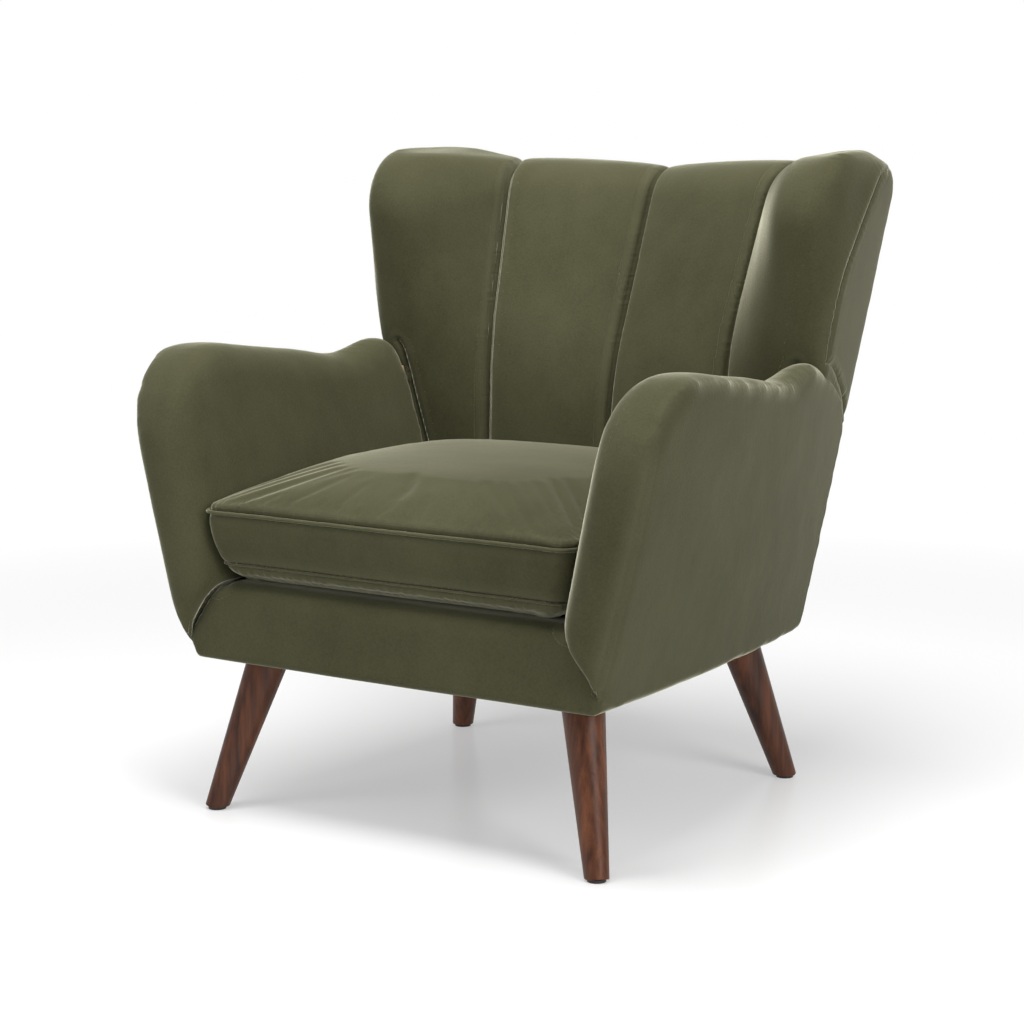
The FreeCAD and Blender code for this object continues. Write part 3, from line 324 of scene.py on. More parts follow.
@dataclass(frozen=True)
class Cloth:
    """Plain woven cloth, from coarse webbing to fine lining."""

    name: str
    dark: Colour
    light: Colour
    threads: float
    depth: float = 0.0003
    wander: float = 0.4

    def material(self) -> bpy.types.ID:
        """Builds the cloth: threads along each axis and uneven dye."""
        graph = paint(self.name)
        first, second, third = (graph.wave(self.threads, axis, self.wander) for axis in "XYZ")
        weave = graph.math("MAXIMUM", graph.times(first, second), graph.times(second, third))
        dye = graph.noise(25.0, 3.0)
        colour = graph.ramp(graph.total((weave, 0.5), (dye, 0.5)), (0.2, self.dark), (0.8, self.light))
        graph.surface(Base_Color=colour, Roughness=graph.span(dye, 0.3, 0.7, 0.8, 0.95))
        return graph.bumped((weave, self.depth), (dye, 0.0005))


def birch() -> bpy.types.ID:
    """Sawn birch of the hidden frame, with long grain and saw marks."""
    graph = paint("frame_birch")
    grain = graph.noise(90.0, 4.0, (0.08, 1, 1))
    saw = graph.wave(60.0, "X", 1.5)
    colour = graph.ramp(grain, (0.35, (0.36, 0.22, 0.11)), (0.65, (0.62, 0.44, 0.26)))
    graph.surface(Base_Color=colour, Roughness=graph.span(grain, 0.3, 0.7, 0.6, 0.8))
    return graph.bumped((grain, 0.0003), (saw, 0.0001))


def steel() -> bpy.types.ID:
    """Drawn steel wire, pressed plates and zip parts: brushed, with faint spots."""
    graph = paint("steel")
    spots = graph.noise(140.0, 4.0)
    brushed = graph.noise(600.0, 2.0, (1, 0.1, 1))
    colour = graph.ramp(spots, (0.35, (0.294, 0.294, 0.301)), (0.6, (0.42, 0.42, 0.43)))
    graph.surface(Base_Color=colour, Metallic=1.0, Roughness=graph.span(brushed, 0.3, 0.7, 0.28, 0.45))
    return graph.bumped((brushed, 0.00006), (spots, 0.0001))


def plastic() -> bpy.types.ID:
    """Moulded dark plastic of the leg glides, with fine grain and scuffs."""
    graph = paint("glide_plastic")
    grain = graph.noise(1400.0)
    scuffs = graph.noise(120.0, 4.0, (1, 0.2, 1))
    colour = graph.ramp(scuffs, (0.45, (0.02, 0.018, 0.016)), (0.75, (0.044, 0.0396, 0.0352)))
    graph.surface(Base_Color=colour, Roughness=graph.span(scuffs, 0.4, 0.7, 0.42, 0.62))
    return graph.bumped((grain, 0.00008))


class Finishes:
    """Every material of the chair, made once."""

    def __init__(self) -> None:
        """Builds the materials under the names of the record's slots."""
        self.by_slot = {
            "velvet": Velvet().material(),
            "leg_wood": Walnut().material(),
            "frame_wood": birch(),
            "steel": steel(),
            "glide_plastic": plastic(),
            "webbing": Cloth("jute_webbing", (0.16, 0.1, 0.05), (0.34, 0.24, 0.13), 24.0, 0.0006).material(),
            "lining": Cloth("black_lining", (0.006, 0.006, 0.006), (0.028, 0.028, 0.027), 50.0).material(),
            "foam": Cloth("cream_foam", (0.5, 0.44, 0.3), (0.66, 0.6, 0.44), 60.0).material(),
        }

    def cover(self, piece: Object, slot: str) -> None:
        """Makes a slot's material the only one of a piece."""
        piece.data.materials.clear()
        piece.data.materials.append(self.by_slot[slot])

    def dress(self, piece: Object, slot: str) -> None:
        """Gives a new piece the finish of one slot."""
        self.cover(piece, slot)

    def dress_solids(self, nodes_by_slot: dict[str, Iterable[str]]) -> None:
        """Gives the frame's own solids, which stay in sight, their finishes."""
        for slot, nodes in nodes_by_slot.items():
            for node in nodes:
                self.cover(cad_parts[node], slot)


def merged_copy(node: str) -> Mesh:
    """A copy of a frame solid's mesh with its loose triangles joined up."""
    copy = bmesh.new()
    copy.from_mesh(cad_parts[node].data)
    bmesh.ops.remove_doubles(copy, verts=copy.verts, dist=MERGE_DISTANCE)
    return copy


def placed(name: str, data: bpy.types.ID) -> Object:
    """Makes an object of some data and puts it in the scene."""
    thing = bpy.data.objects.new(name, data)
    bpy.context.scene.collection.objects.link(thing)
    return thing


def new_piece(name: str, mesh: Mesh, body: Body = Body.CHAIR) -> Object:
    """Makes a smooth-shaded object, riding on a body, of a mesh that is freed."""
    data = bpy.data.meshes.new(name)
    for face in mesh.faces:
        face.smooth = True
    mesh.to_mesh(data)
    mesh.free()
    piece = placed(name, data)
    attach(piece, body.value)
    return piece


def apply_modifiers(piece: Object) -> None:
    """Fixes a piece's modifiers into its mesh."""
    ready = piece.evaluated_get(bpy.context.evaluated_depsgraph_get())
    data = bpy.data.meshes.new_from_object(ready)
    piece.modifiers.clear()
    old = piece.data
    piece.data = data
    bpy.data.meshes.remove(old)


@contextmanager
def edited(piece: Object) -> Iterator[Mesh]:
    """Lends a piece's mesh with fresh normals, and stores it afterwards."""
    mesh = bmesh.new()
    mesh.from_mesh(piece.data)
    mesh.normal_update()
    yield mesh
    mesh.to_mesh(piece.data)
    mesh.free()


def nearby(spots: Sequence[Vector]) -> KDTree:
    """A tree that finds the nearest of some spots."""
    tree = KDTree(max(1, len(spots)))
    for index, spot in enumerate(spots):
        tree.insert(spot, index)
    tree.balance()
    return tree


class SeamStep(NamedTuple):
    """One step of a seam: its place, the way into its panel, the run up to it and the seam's strength."""

    spot: Vector
    inward: Vector
    run: float
    strength: float


def seam_round(patch: Mesh, strength: Amount, pitch: float = 0.0015) -> list[SeamStep]:
    """Walks the boundary of an outer panel in even steps, loop after loop.

    Args:
        patch: The panel's faces.
        strength: How strongly the seam draws the cloth in at a place.
        pitch: Distance between two steps.

    Returns:
        The steps of the seam that runs there.
    """
    steps = []
    left = {edge for edge in patch.edges if edge.is_boundary}
    while left:
        edge = min(left, key=lambda item: item.index)
        point, run = edge.verts[0], 0.0
        while edge is not None:
            left.discard(edge)
            start, point = point.co, edge.other_vert(point)
            length = (point.co - start).length
            if length >= LEAST_EDGE:
                along = (point.co - start) / length
                inward = edge.link_faces[0].calc_center_median() - start
                inward = (inward - along * inward.dot(along)).normalized()
                count = max(1, round(length / pitch))
                for share in ((i + 0.5) / count for i in range(count)):
                    spot = start.lerp(point.co, share)
                    steps.append(SeamStep(spot, inward, run + length * share, strength(spot)))
                run += length
            edge = next((item for item in point.link_edges if item in left), None)
    return steps


def outer_patch(node: str, outward: Movement) -> Mesh:
    """The outer faces of a thin cover panel.

    Args:
        node: The panel's solid.
        outward: The way out of the chair at a point.

    Returns:
        A mesh of the faces that look that way.
    """
    patch = merged_copy(node)
    leans = [(face.normal.dot(outward(face.calc_center_median())), face) for face in patch.faces]
    hidden = [face for lean, face in leans if lean < OUTWARD_LEAN]
    bmesh.ops.delete(patch, geom=hidden, context="FACES")
    patch.edges.index_update()
    return patch


def thickened(patch: Mesh, thickness: float) -> Mesh:
    """Makes a patch a closed slab that reaches inwards, and returns it."""
    bmesh.ops.solidify(patch, geom=patch.faces[:], thickness=thickness)
    return patch


def banded(node: str, side: Side, strength: Amount) -> tuple[Mesh, list[SeamStep]]:
    """The slab behind a side's outer panel, and the steps of the seam that runs round it."""
    patch = outer_patch(node, side.outward)
    steps = seam_round(patch, strength)
    return thickened(patch, SLAB_DEPTH), steps


def dice(patch: Mesh, pitch: float, axes: Sequence[Vector]) -> None:
    """Cuts a patch into a fine net across some axes, so that it can sag."""
    for across in axes:
        places = [vert.co.dot(across) for vert in patch.verts]
        for i in range(1, math.ceil((max(places) - min(places)) / pitch)):
            geom = patch.verts[:] + patch.edges[:] + patch.faces[:]
            spot = across * (min(places) + i * pitch)
            bmesh.ops.bisect_plane(patch, geom=geom, dist=CUT_DISTANCE, plane_co=spot, plane_no=across)


def mark_seam(piece: Object, distance: float) -> None:
    """Says at every point of a velvet piece that the nearest seam lies a given distance away, which the
    velvet reads for its painted seam shade and painted lip highlight.
    """
    for name in ("seam_across", "seam_reach"):
        marks = piece.data.attributes.new(name, "FLOAT", "POINT")
        marks.data.foreach_set("value", [distance] * len(piece.data.vertices))


@dataclass(frozen=True)
class Gathers:
    """Small folds beside a seam, higher on its gathered side than on its plain side."""

    height: float = 0.0006
    pitch: float = 0.0085
    reach: float = 0.014
    plain_height: float = 0.35
    plain_reach: float = 0.4
    sway: float = 2.2
    sway_rate: float = 40.0
    sway_row: float = 3.1
    depth: float = 0.6
    depth_change: float = 0.7
    depth_rate: float = 23.0
    depth_row: float = 9.7

    def lift(self, run: float, across: float) -> float:
        """Height of the folds at a run along the seam. On the gathered side, across is below 0."""
        sway = self.sway * noise.noise(Vector((run * self.sway_rate, self.sway_row, 0.0)))
        change = self.depth_change * noise.noise(Vector((run * self.depth_rate, self.depth_row, 0.0)))
        wave = math.sin(math.tau * run / self.pitch + sway)
        reach = self.reach if across < 0 else self.reach * self.plain_reach
        side = 1.0 if across < 0 else self.plain_height
        return self.height * side * (self.depth + change) * wave * math.exp(-abs(across) / reach)


@dataclass
class Stuffed:
    """A stuffed piece: solids fused into one even skin, softened, swelled and tucked at its seams."""

    name: str
    solids: Sequence[str]
    slabs: Sequence[Mesh] = ()
    steps: Sequence[SeamStep] = ()
    body: Body = Body.CHAIR
    voxel: float = 0.005
    relax: int = 12
    snap_reach: float = 0.006
    snap_near: float = 0.0010
    snap_far: float = 0.0026
    swell: float = 0.0016
    waviness: float = 0.0007
    waves_per_metre: float = 8.0
    tuck: float = 0.0022
    tuck_width: float = 0.004
    seam_reach: float = 0.06
    least_across: float = 0.7
    gathers: Gathers = Gathers()
    fill: float = 0.75
    puff: float = 0.0
    least_puff: float = 0.001
    pressure: float = 4.0
    pressure_frames: int = 20
    cloth_quality: int = 5
    cloth_stretch: float = 0.004
    seam_hold: Pair = (0.004, 0.012)
    neighbours: Sequence[str] = ()
    neighbour_reach: float = 0.02
    neighbour_skin: float = 0.0012
    nip: float = 0.004
    nip_width: float = 0.006
    nip_lean: float = 0.3
    outer_side: float = 0.0
    shift: Movement = everywhere(Vector())
    edge_passes: int = 6
    soft_passes: int = 0
    softness: Amount = everywhere(0.0)

    def fused(self) -> Object:
        """Fuses the solids and slabs under one even skin, softened and blown up where it asks for it."""
        joined = bmesh.new()
        for part in [merged_copy(node) for node in self.solids] + list(self.slabs):
            carrier = bpy.data.meshes.new("part")
            part.to_mesh(carrier)
            part.free()
            joined.from_mesh(carrier)
            bpy.data.meshes.remove(carrier)
        joined.normal_update()
        walls = BVHTree.FromBMesh(joined)
        piece = new_piece(self.name, joined, self.body)
        skin = piece.modifiers.new("Even skin", "REMESH")
        skin.mode = "VOXEL"
        skin.voxel_size = self.voxel
        smooth = piece.modifiers.new("Soften", "SMOOTH")
        smooth.iterations = self.relax
        smooth.factor = SMOOTHING
        apply_modifiers(piece)
        self.settle(piece, walls)
        if self.puff > 0:
            self.blow_up(piece)
        fine = piece.modifiers.new("Fine skin", "SUBSURF")
        fine.levels = fine.render_levels = 1
        apply_modifiers(piece)
        return piece

    def settle(self, piece: Object, walls: BVHTree) -> None:
        """Lays the broad faces back on the solids' own faces, the walls, then rounds the soft spots."""
        with edited(piece) as mesh:
            moves, loose = [], []
            for vert in mesh.verts:
                start = vert.co + vert.normal * self.snap_reach
                hit = walls.ray_cast(start, -vert.normal, 2 * self.snap_reach)[0]
                gap = self.snap_far if hit is None else (hit - vert.co).length
                hold = portion(self.snap_far - gap, self.snap_far - self.snap_near)
                if hold < 1.0:
                    loose.append(vert)
                if hit is not None:
                    moves.append((vert, vert.co.lerp(hit, hold)))
            for vert, spot in moves:
                vert.co = spot
            self.soften(mesh, mesh.verts[:], 1)
            self.soften(mesh, loose, self.edge_passes)
            for vert in mesh.verts:
                vert.co += self.shift(vert.co)
            softness = [(self.softness(vert.co), vert) for vert in mesh.verts]
            for step in range(self.soft_passes):
                level = (step + 0.5) / self.soft_passes
                self.soften(mesh, [vert for soft, vert in softness if soft > level], 1)

    def soften(self, mesh: Mesh, verts: Sequence[bmesh.types.BMVert], passes: int) -> None:
        """Evens out some of the points, pass after pass."""
        axes = {f"use_axis_{axis}": True for axis in "xyz"}
        for _ in range(passes):
            bmesh.ops.smooth_vert(mesh, verts=verts, factor=SMOOTHING, **axes)

    def blow_up(self, piece: Object) -> None:
        """Lets the cloth swell under its filling's pressure while its seams hold it."""
        tree = nearby([step.spot for step in self.steps])
        held = piece.vertex_groups.new(name="held")
        start = [vert.co.copy() for vert in piece.data.vertices]
        room = [max(0.0, vert.normal.z, -vert.normal.y) for vert in piece.data.vertices]
        for vert in piece.data.vertices:
            free = portion(tree.find(vert.co)[2] - self.seam_hold[0], self.seam_hold[1])
            held.add([vert.index], 1.0 - free, "REPLACE")
        cloth = piece.modifiers.new("Filling", "CLOTH")
        cloth.settings.quality = self.cloth_quality
        cloth.settings.use_pressure = True
        cloth.settings.uniform_pressure_force = self.pressure
        cloth.settings.vertex_group_mass = held.name
        cloth.settings.shrink_min = -self.cloth_stretch
        cloth.settings.effector_weights.gravity = 0.0
        cloth.point_cache.frame_start, cloth.point_cache.frame_end = 1, self.pressure_frames
        for step in range(1, self.pressure_frames + 1):
            bpy.context.scene.frame_set(step)
        apply_modifiers(piece)
        bpy.context.scene.frame_set(1)
        piece.vertex_groups.clear()
        for vert, before, free in zip(piece.data.vertices, start, room):
            move = vert.co - before
            cap = self.least_puff + self.puff * free
            if move.length > cap:
                vert.co = before + move * (cap / move.length)

    def sew(self, piece: Object) -> None:
        """Swells the skin, tucks it in at the seams and keeps the seam's place at every point."""
        tree = nearby([step.spot for step in self.steps])
        beside = [merged_copy(node) for node in self.neighbours]
        walls = [BVHTree.FromBMesh(solid) for solid in beside]
        far = self.neighbour_reach
        with edited(piece) as mesh:
            floats = mesh.verts.layers.float
            names = ("seam_across", "seam_along", "seam_reach")
            for name in names:
                floats.new(name)
            layers = [floats[name] for name in names]
            for vert in mesh.verts:
                normal = vert.normal.copy()
                lift = self.swell
                across, run, reach = NO_SEAM, 0.0, NO_SEAM
                _, index, distance = tree.find(vert.co)
                step = self.steps[index] if self.steps else None
                if step and step.strength > 0 and distance < self.seam_reach:
                    across = (vert.co - step.spot).dot(step.inward)
                    across = math.copysign(max(abs(across), distance * self.least_across), across)
                    run, reach = step.run, distance
                    lift -= self.tuck * step.strength * math.exp(-((across / self.tuck_width) ** 2))
                    lift += self.gathers.lift(run, across) * step.strength
                gap = min((wall.find_nearest(vert.co, far)[3] or far for wall in walls), default=far)
                # Where a neighbouring piece presses close, the contact is marked like a seam, so the velvet
                # paints its valley shade and lip highlight there too.
                if gap < far and gap < abs(across) and normal.x * self.outer_side < self.nip_lean:
                    across, run = max(0.0, gap - self.neighbour_skin), vert.co.z
                    reach = across
                    lift -= self.nip * math.exp(-((gap / self.nip_width) ** 2))
                lift += self.waviness * noise.noise(vert.co * self.waves_per_metre)
                vert.co += normal * lift
                for layer, value in zip(layers, (across, run, reach)):
                    vert[layer] = value
        for solid in beside:
            solid.free()

    def build(self, finishes: Finishes, replaced: Iterable[str], slot: str = "velvet") -> None:
        """Makes, sews and dresses the piece, which stands for the replaced solids of the frame."""
        piece = self.fused()
        self.sew(piece)
        finishes.dress(piece, slot)
        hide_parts(*replaced)
        log.info("%s: %d points", self.name, len(piece.data.vertices))


@dataclass
class Back:
    """The two upright channels and the plain outside back, which bends round the fan's axis."""

    fan_y: float = -0.610

    def outward(self, spot: Vector) -> Vector:
        """The way out through the back, away from the fan's axis."""
        return Vector((spot.x, spot.y - self.fan_y, 0.0)).normalized()

    def build(self, finishes: Finishes) -> None:
        """Builds the channels and the outside back."""
        for side in Side:
            solids = (f"channel_cover_{side}", f"channel_pad_{side}")
            channel = Stuffed(
                f"back_channel_{side}", solids, relax=8, swell=0.001, soft_passes=10,
                neighbours=(f"channel_cover_{side.other}", f"wing_cover_{side}"),
                softness=everywhere(1.0),
            )
            channel.build(finishes, solids)
        slab = thickened(outer_patch("outside_back", self.outward), SLAB_DEPTH)
        cover = Stuffed("outside_back_cover", (), [slab], voxel=0.008, relax=4, fill=0.3)
        cover.build(finishes, ("outside_back",))


@dataclass
class Wings:
    """The two wings, each with its outside band."""

    gathers: Gathers = Gathers(height=0.0002)

    def build(self, finishes: Finishes) -> None:
        """Builds both wings."""
        for side in Side:
            slab, steps = banded(f"wing_band_{side}", side, everywhere(1.0))
            solids = (f"wing_cover_{side}", f"wing_pad_{side}")
            wing = Stuffed(
                f"wing_{side}", solids, [slab], steps, gathers=self.gathers, soft_passes=10,
                neighbours=(f"channel_cover_{side}", f"arm_cover_{side}"),
                softness=everywhere(1.0), outer_side=side.value,
            )
            wing.build(finishes, (*solids, f"wing_band_{side}"))


@dataclass
class Arms:
    """The two arms, each with its outside panel down to the bottom edge.

    Lengths are in metres from the frame's origin, and pairs are a place seen from the side, as Y and Z.
    """

    bottom_edge: float = 0.214
    sink_depth: float = 0.007
    sink_y: float = 0.03
    sink_length: float = 0.06
    sink_level: float = 0.55
    turn: float = 0.03
    outer_x: float = 0.335
    top_level: float = 0.54
    front_y: float = -0.325
    nose_y: float = -0.35
    hump: Pair = (0.05, 0.59)
    hump_reach: float = 0.07
    corner: Pair = (-0.366, 0.225)
    corner_reach: float = 0.045
    part_soft: float = 0.6
    nose_soft: float = 0.5

    def seam_strength(self, spot: Vector) -> float:
        """A seam runs round the outside panel, but its bottom edge is only turned under."""
        return 0.0 if spot.z < self.bottom_edge else 1.0

    def sink(self, spot: Vector) -> Vector:
        """The arm's top sinks a little where it runs into the wing."""
        behind = portion(spot.y - self.sink_y, self.sink_length)
        high = portion(spot.z - self.sink_level, self.turn)
        return Vector((0, 0, -self.sink_depth * behind * high))

    def roundness(self, spot: Vector) -> float:
        """The arm turns softly into its outside along the top and down its front."""
        outer = portion(abs(spot.x) - self.outer_x, self.turn)
        top = portion(spot.z - self.top_level, self.turn)
        front = portion(self.front_y - spot.y, self.turn)
        hump = 1.0 - portion((spot.yz - Vector(self.hump)).length, self.hump_reach)
        corner = portion(self.corner_reach - (spot.yz - Vector(self.corner)).length, self.turn)
        nose = min(self.nose_soft, portion(self.nose_y - spot.y, self.turn))
        return max(self.part_soft * top, outer * top, outer * front * self.part_soft, hump, corner, nose)

    def build(self, finishes: Finishes) -> None:
        """Builds both arms."""
        for side in Side:
            slab, steps = banded(f"side_panel_{side}", side, self.seam_strength)
            solids = (f"arm_cover_{side}", f"arm_pad_{side}")
            arm = Stuffed(
                f"arm_{side}", solids, [slab], steps, voxel=0.006, gathers=Gathers(height=0.0),
                neighbours=(f"wing_cover_{side}", "front_rail_cover"), outer_side=side.value,
                soft_passes=34, softness=self.roundness, shift=self.sink,
            )
            arm.build(finishes, (*solids, f"side_panel_{side}"))


class FrontRail:
    """The padded front rail between the arms."""

    def build(self, finishes: Finishes) -> None:
        """Builds the rail."""
        solids = ("front_rail_cover", "front_rail_pad")
        beside = ("arm_cover_right", "arm_cover_left")
        Stuffed("front_rail", solids, neighbours=beside, nip=0.003).build(finishes, solids)


@dataclass
class PipedSeam:
    """A piped seam round the cushion, read off its cord in the frame.

    A lump or a change of girth is its size, and how many there are to a metre.
    """

    node: str
    thickness: float
    panel_up: float
    shift: Movement
    frame_cord: float = 0.006
    sunk: float = 0.45
    inset: float = 0.002
    count: int = 720
    middle: Pair = (0.0, -0.11)
    off_level: float = 0.0004
    lump: Pair = (0.0005, 130.0)
    girth: Pair = (0.07, 210.0)
    # The piping is marked as lying this far from a seam, which gives it most of the velvet's painted lip
    # highlight and none of its painted seam shade.
    shade_distance: float = 0.0026
    line: list[Vector] = field(default_factory=list)
    steps: list[SeamStep] = field(default_factory=list)

    def trace(self) -> None:
        """Finds the cord's middle line, looking out from the cushion's middle, and the seam's steps."""
        low, high = (Vector(corner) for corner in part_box(self.node))
        level = (low.z + high.z) / 2
        cord = merged_copy(self.node)
        walls = BVHTree.FromBMesh(cord)
        look = Vector((*self.middle, level + self.off_level))
        for i in range(self.count):
            turn = math.tau * i / self.count
            away = Vector((math.cos(turn), math.sin(turn), 0.0))
            near = walls.ray_cast(look, away)[0]
            far = walls.ray_cast(look + away, -away)[0]
            spot = near.lerp(far, 0.5) - away * (self.frame_cord - self.thickness) * self.sunk
            spot.z = level
            self.line.append(spot + self.shift(spot))
        cord.free()
        run = 0.0
        for i, spot in enumerate(self.line):
            ahead = self.line[(i + 1) % self.count]
            out = (ahead - spot).cross(UP).normalized()
            inward = (out - UP * self.panel_up).normalized()
            self.steps.append(SeamStep(spot - out * self.inset, inward, run, 1.0))
            run += (ahead - spot).length

    def build(self, finishes: Finishes) -> None:
        """Covers the cord in a tube of the same velvet."""
        data = bpy.data.curves.new(self.node, "CURVE")
        data.dimensions = "3D"
        data.bevel_depth = self.thickness / 2
        data.bevel_resolution = 2
        data.resolution_u = 1
        spline = data.splines.new("NURBS")
        spline.points.add(self.count - 1)
        for point, spot in zip(spline.points, self.line):
            lump = self.lump[0] * noise.noise(spot * self.lump[1])
            point.co = (*(spot + UP * lump), 1.0)
            point.radius = 1.0 + self.girth[0] * noise.noise(spot * self.girth[1])
        spline.order_u = 3
        spline.use_cyclic_u = True
        cord = placed(f"{self.node}_carrier", data)
        ready = cord.evaluated_get(bpy.context.evaluated_depsgraph_get())
        tube = bmesh.new()
        tube.from_mesh(ready.to_mesh())
        bmesh.ops.remove_doubles(tube, verts=tube.verts, dist=MERGE_DISTANCE)
        bmesh.ops.recalc_face_normals(tube, faces=tube.faces)
        bpy.data.objects.remove(cord)
        piece = new_piece(f"{self.node}_cover", tube, Body.CUSHION)
        mark_seam(piece, self.shade_distance)
        finishes.dress(piece, "velvet")
        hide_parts(self.node)


@dataclass
class Cushion:
    """The loose seat cushion: crowned top, boxing, plump underside, piping and the zip's tape."""

    ear_place: Pair = (0.278, -0.374)
    ear_way: Pair = (0.72, -0.69)
    ear_reach: float = 0.045
    ear_height: float = 0.022
    ear_pull: Pair = (0.013, 0.008)
    seam_levels: Pair = (0.345, 0.414)
    piping: Pair = (0.0052, 0.0030)
    crown: float = 0.064
    crown_share: float = 0.85
    crown_start: float = 0.003
    crown_blend: float = 0.012
    half_width: float = 0.279
    half_depth: float = 0.266
    middle_y: float = -0.1145
    soft_level: float = 0.425
    soft_blend: float = 0.02
    gathers: Gathers = Gathers(height=0.0005, pitch=0.013, reach=0.018)
    tape_net: float = 0.01
    tape_lift: float = 0.0016
    tape_thickness: float = 0.0018
    tooth_pitch: float = 0.0035
    tooth_size: Colour = (0.0018, 0.0016, 0.0052)
    tooth_outlook: float = 0.1

    def ear(self, spot: Vector) -> Vector:
        """How far the stiff seams pull a point out near a front corner."""
        low, high = self.seam_levels
        pull = self.ear_pull[0] + (self.ear_pull[1] - self.ear_pull[0]) * portion(spot.z - low, high - low)
        off = max(0.0, low - spot.z, spot.z - high)
        corner = Vector((math.copysign(self.ear_place[0], spot.x), self.ear_place[1]))
        near = math.exp(-(((spot.xy - corner).length / self.ear_reach) ** 2) - (off / self.ear_height) ** 2)
        return Vector((math.copysign(self.ear_way[0], spot.x), self.ear_way[1], 0)) * (pull * near)

    def crowned(self, spot: Vector) -> Vector:
        """How far a point moves to the cushion's full crown and its pulled-out corners."""
        top = self.seam_levels[1]
        above = portion(spot.z - top - self.crown_start, self.crown_blend)
        across = min(1.0, abs(spot.x) / self.half_width)
        along = min(1.0, abs(spot.y - self.middle_y) / self.half_depth)
        height = self.crown * math.sqrt((1 - across**3) * (1 - along**3))
        return self.ear(spot) + UP * ((top + height - spot.z) * above * self.crown_share)

    def softness(self, spot: Vector) -> float:
        """The top is soft above its seam."""
        return portion(spot.z - self.soft_level, self.soft_blend)

    def zip_strip(self, finishes: Finishes) -> None:
        """Lays the zip's tape on the rear boxing, with its teeth."""
        patch = outer_patch("zip_tape", everywhere(REARWARD))
        dice(patch, self.tape_net, [Vector((1, 0, 0))])
        bmesh.ops.translate(patch, verts=patch.verts, vec=REARWARD * self.tape_lift)
        low, high = (Vector(corner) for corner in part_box("zip_tape"))
        level = (low.z + high.z) / 2
        walls = BVHTree.FromBMesh(patch)
        thickened(patch, self.tape_thickness)
        for i in range(int((high.x - low.x) / self.tooth_pitch)):
            place = Vector((low.x + (i + 0.5) * self.tooth_pitch, high.y + self.tooth_outlook, level))
            spot = walls.ray_cast(place, -REARWARD)[0]
            if spot is not None:
                tooth = bmesh.ops.create_cube(patch, size=1.0)["verts"]
                bmesh.ops.scale(patch, vec=self.tooth_size, verts=tooth)
                bmesh.ops.translate(patch, vec=spot, verts=tooth)
        strip = new_piece("zip_strip", patch, Body.CUSHION)
        mark_seam(strip, NO_SEAM)
        finishes.dress(strip, "velvet")
        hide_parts("zip_tape")

    def build(self, finishes: Finishes) -> None:
        """Builds the cushion."""
        steps = []
        for node, thickness, panel_up in zip(("piping_upper", "piping_lower"), self.piping, (1.0, -1.0)):
            seam = PipedSeam(node, thickness, panel_up, self.ear)
            seam.trace()
            seam.build(finishes)
            steps += seam.steps
        covers = [f"cushion_{part}" for part in ("core", "topper", "top_panel", "boxing", "bottom_panel")]
        filling = Stuffed(
            "seat_cushion", [*covers, "zip_tape"], (), steps, Body.CUSHION, voxel=0.0055, swell=0.0006,
            gathers=self.gathers, puff=0.004, fill=0.85, soft_passes=24, softness=self.softness,
            shift=self.crowned,
        )
        filling.build(finishes, covers)
        self.zip_strip(finishes)


@dataclass
class Linings:
    """The webbing, hessian, deck and dust cover inside the chair."""

    net: float = 0.02
    rim_reach: float = 0.06
    unevenness: float = 0.4
    dents_per_metre: float = 14.0
    thickness: float = 0.001
    strap_net: float = 0.012
    strap_lift: float = 0.0004
    strap_thickness: float = 0.0014

    def stretched(
        self, finishes: Finishes, name: str, node: str, slot: str, facing: Vector, sag: float
    ) -> None:
        """Stretches a cloth where a thin solid lies.

        Args:
            finishes: The chair's materials.
            name: The cloth's name.
            node: The thin solid.
            slot: The cloth's finish.
            facing: The way that its outer face looks.
            sag: How far it gives in its middle, along its facing when above 0.
        """
        patch = outer_patch(node, everywhere(facing))
        dice(patch, self.net, (Vector((1, 0, 0)), REARWARD))
        area = sum(face.calc_area() for face in patch.faces)
        rim = nearby([vert.co.copy() for vert in patch.verts if vert.is_boundary])
        for vert in patch.verts:
            give = 1.0 - math.exp(-rim.find(vert.co)[2] / self.rim_reach)
            uneven = 1.0 + self.unevenness * noise.noise(vert.co * self.dents_per_metre)
            vert.co += facing * (sag * give * uneven)
        cloth = new_piece(name, thickened(patch, self.thickness))
        finishes.dress(cloth, slot)
        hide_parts(node)

    def strap_faces(self, patch: Mesh) -> list[list[bmesh.types.BMFace]]:
        """Sorts the webbing's faces into straps, from the lowest up."""
        left = set(patch.faces)
        straps = []
        while left:
            grown = [min(left, key=lambda face: face.calc_center_median().z)]
            left.discard(grown[0])
            for face in grown:
                for beside in (item for edge in face.edges for item in edge.link_faces):
                    if beside in left:
                        left.discard(beside)
                        grown.append(beside)
            straps.append(grown)
        return straps

    def straps(self, finishes: Finishes) -> None:
        """Stretches the webbing across the back, strap by strap."""
        patch = outer_patch("back_straps", everywhere(-REARWARD))
        dice(patch, self.strap_net, [Vector((1, 0, 0))])
        for index, faces in enumerate(self.strap_faces(patch)):
            area = sum(face.calc_area() for face in faces)
            strap = bmesh.new()
            made = {}
            for face in faces:
                for vert in face.verts:
                    if vert not in made:
                        made[vert] = strap.verts.new(vert.co - REARWARD * self.strap_lift)
                strap.faces.new([made[vert] for vert in face.verts])
            strap.normal_update()
            band = new_piece(f"back_webbing_{index + 1}", thickened(strap, self.strap_thickness))
            finishes.dress(band, "webbing")
            if index == 0:
                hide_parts("back_straps")
        patch.free()

    def build(self, finishes: Finishes) -> None:
        """Builds the hidden cloths and the deck's pad."""
        pad = Stuffed("deck_padding", ("deck_pad",), voxel=0.008, relax=2, swell=0.0004, fill=0.6)
        pad.build(finishes, ("deck_pad",), "foam")
        self.stretched(finishes, "deck_cloth", "deck_cover", "lining", UP, 0.0006)
        self.stretched(finishes, "spring_hessian", "hessian", "webbing", UP, -0.0004)
        self.stretched(finishes, "dust_cloth", "dust_cover", "lining", -UP, 0.004)
        self.straps(finishes)


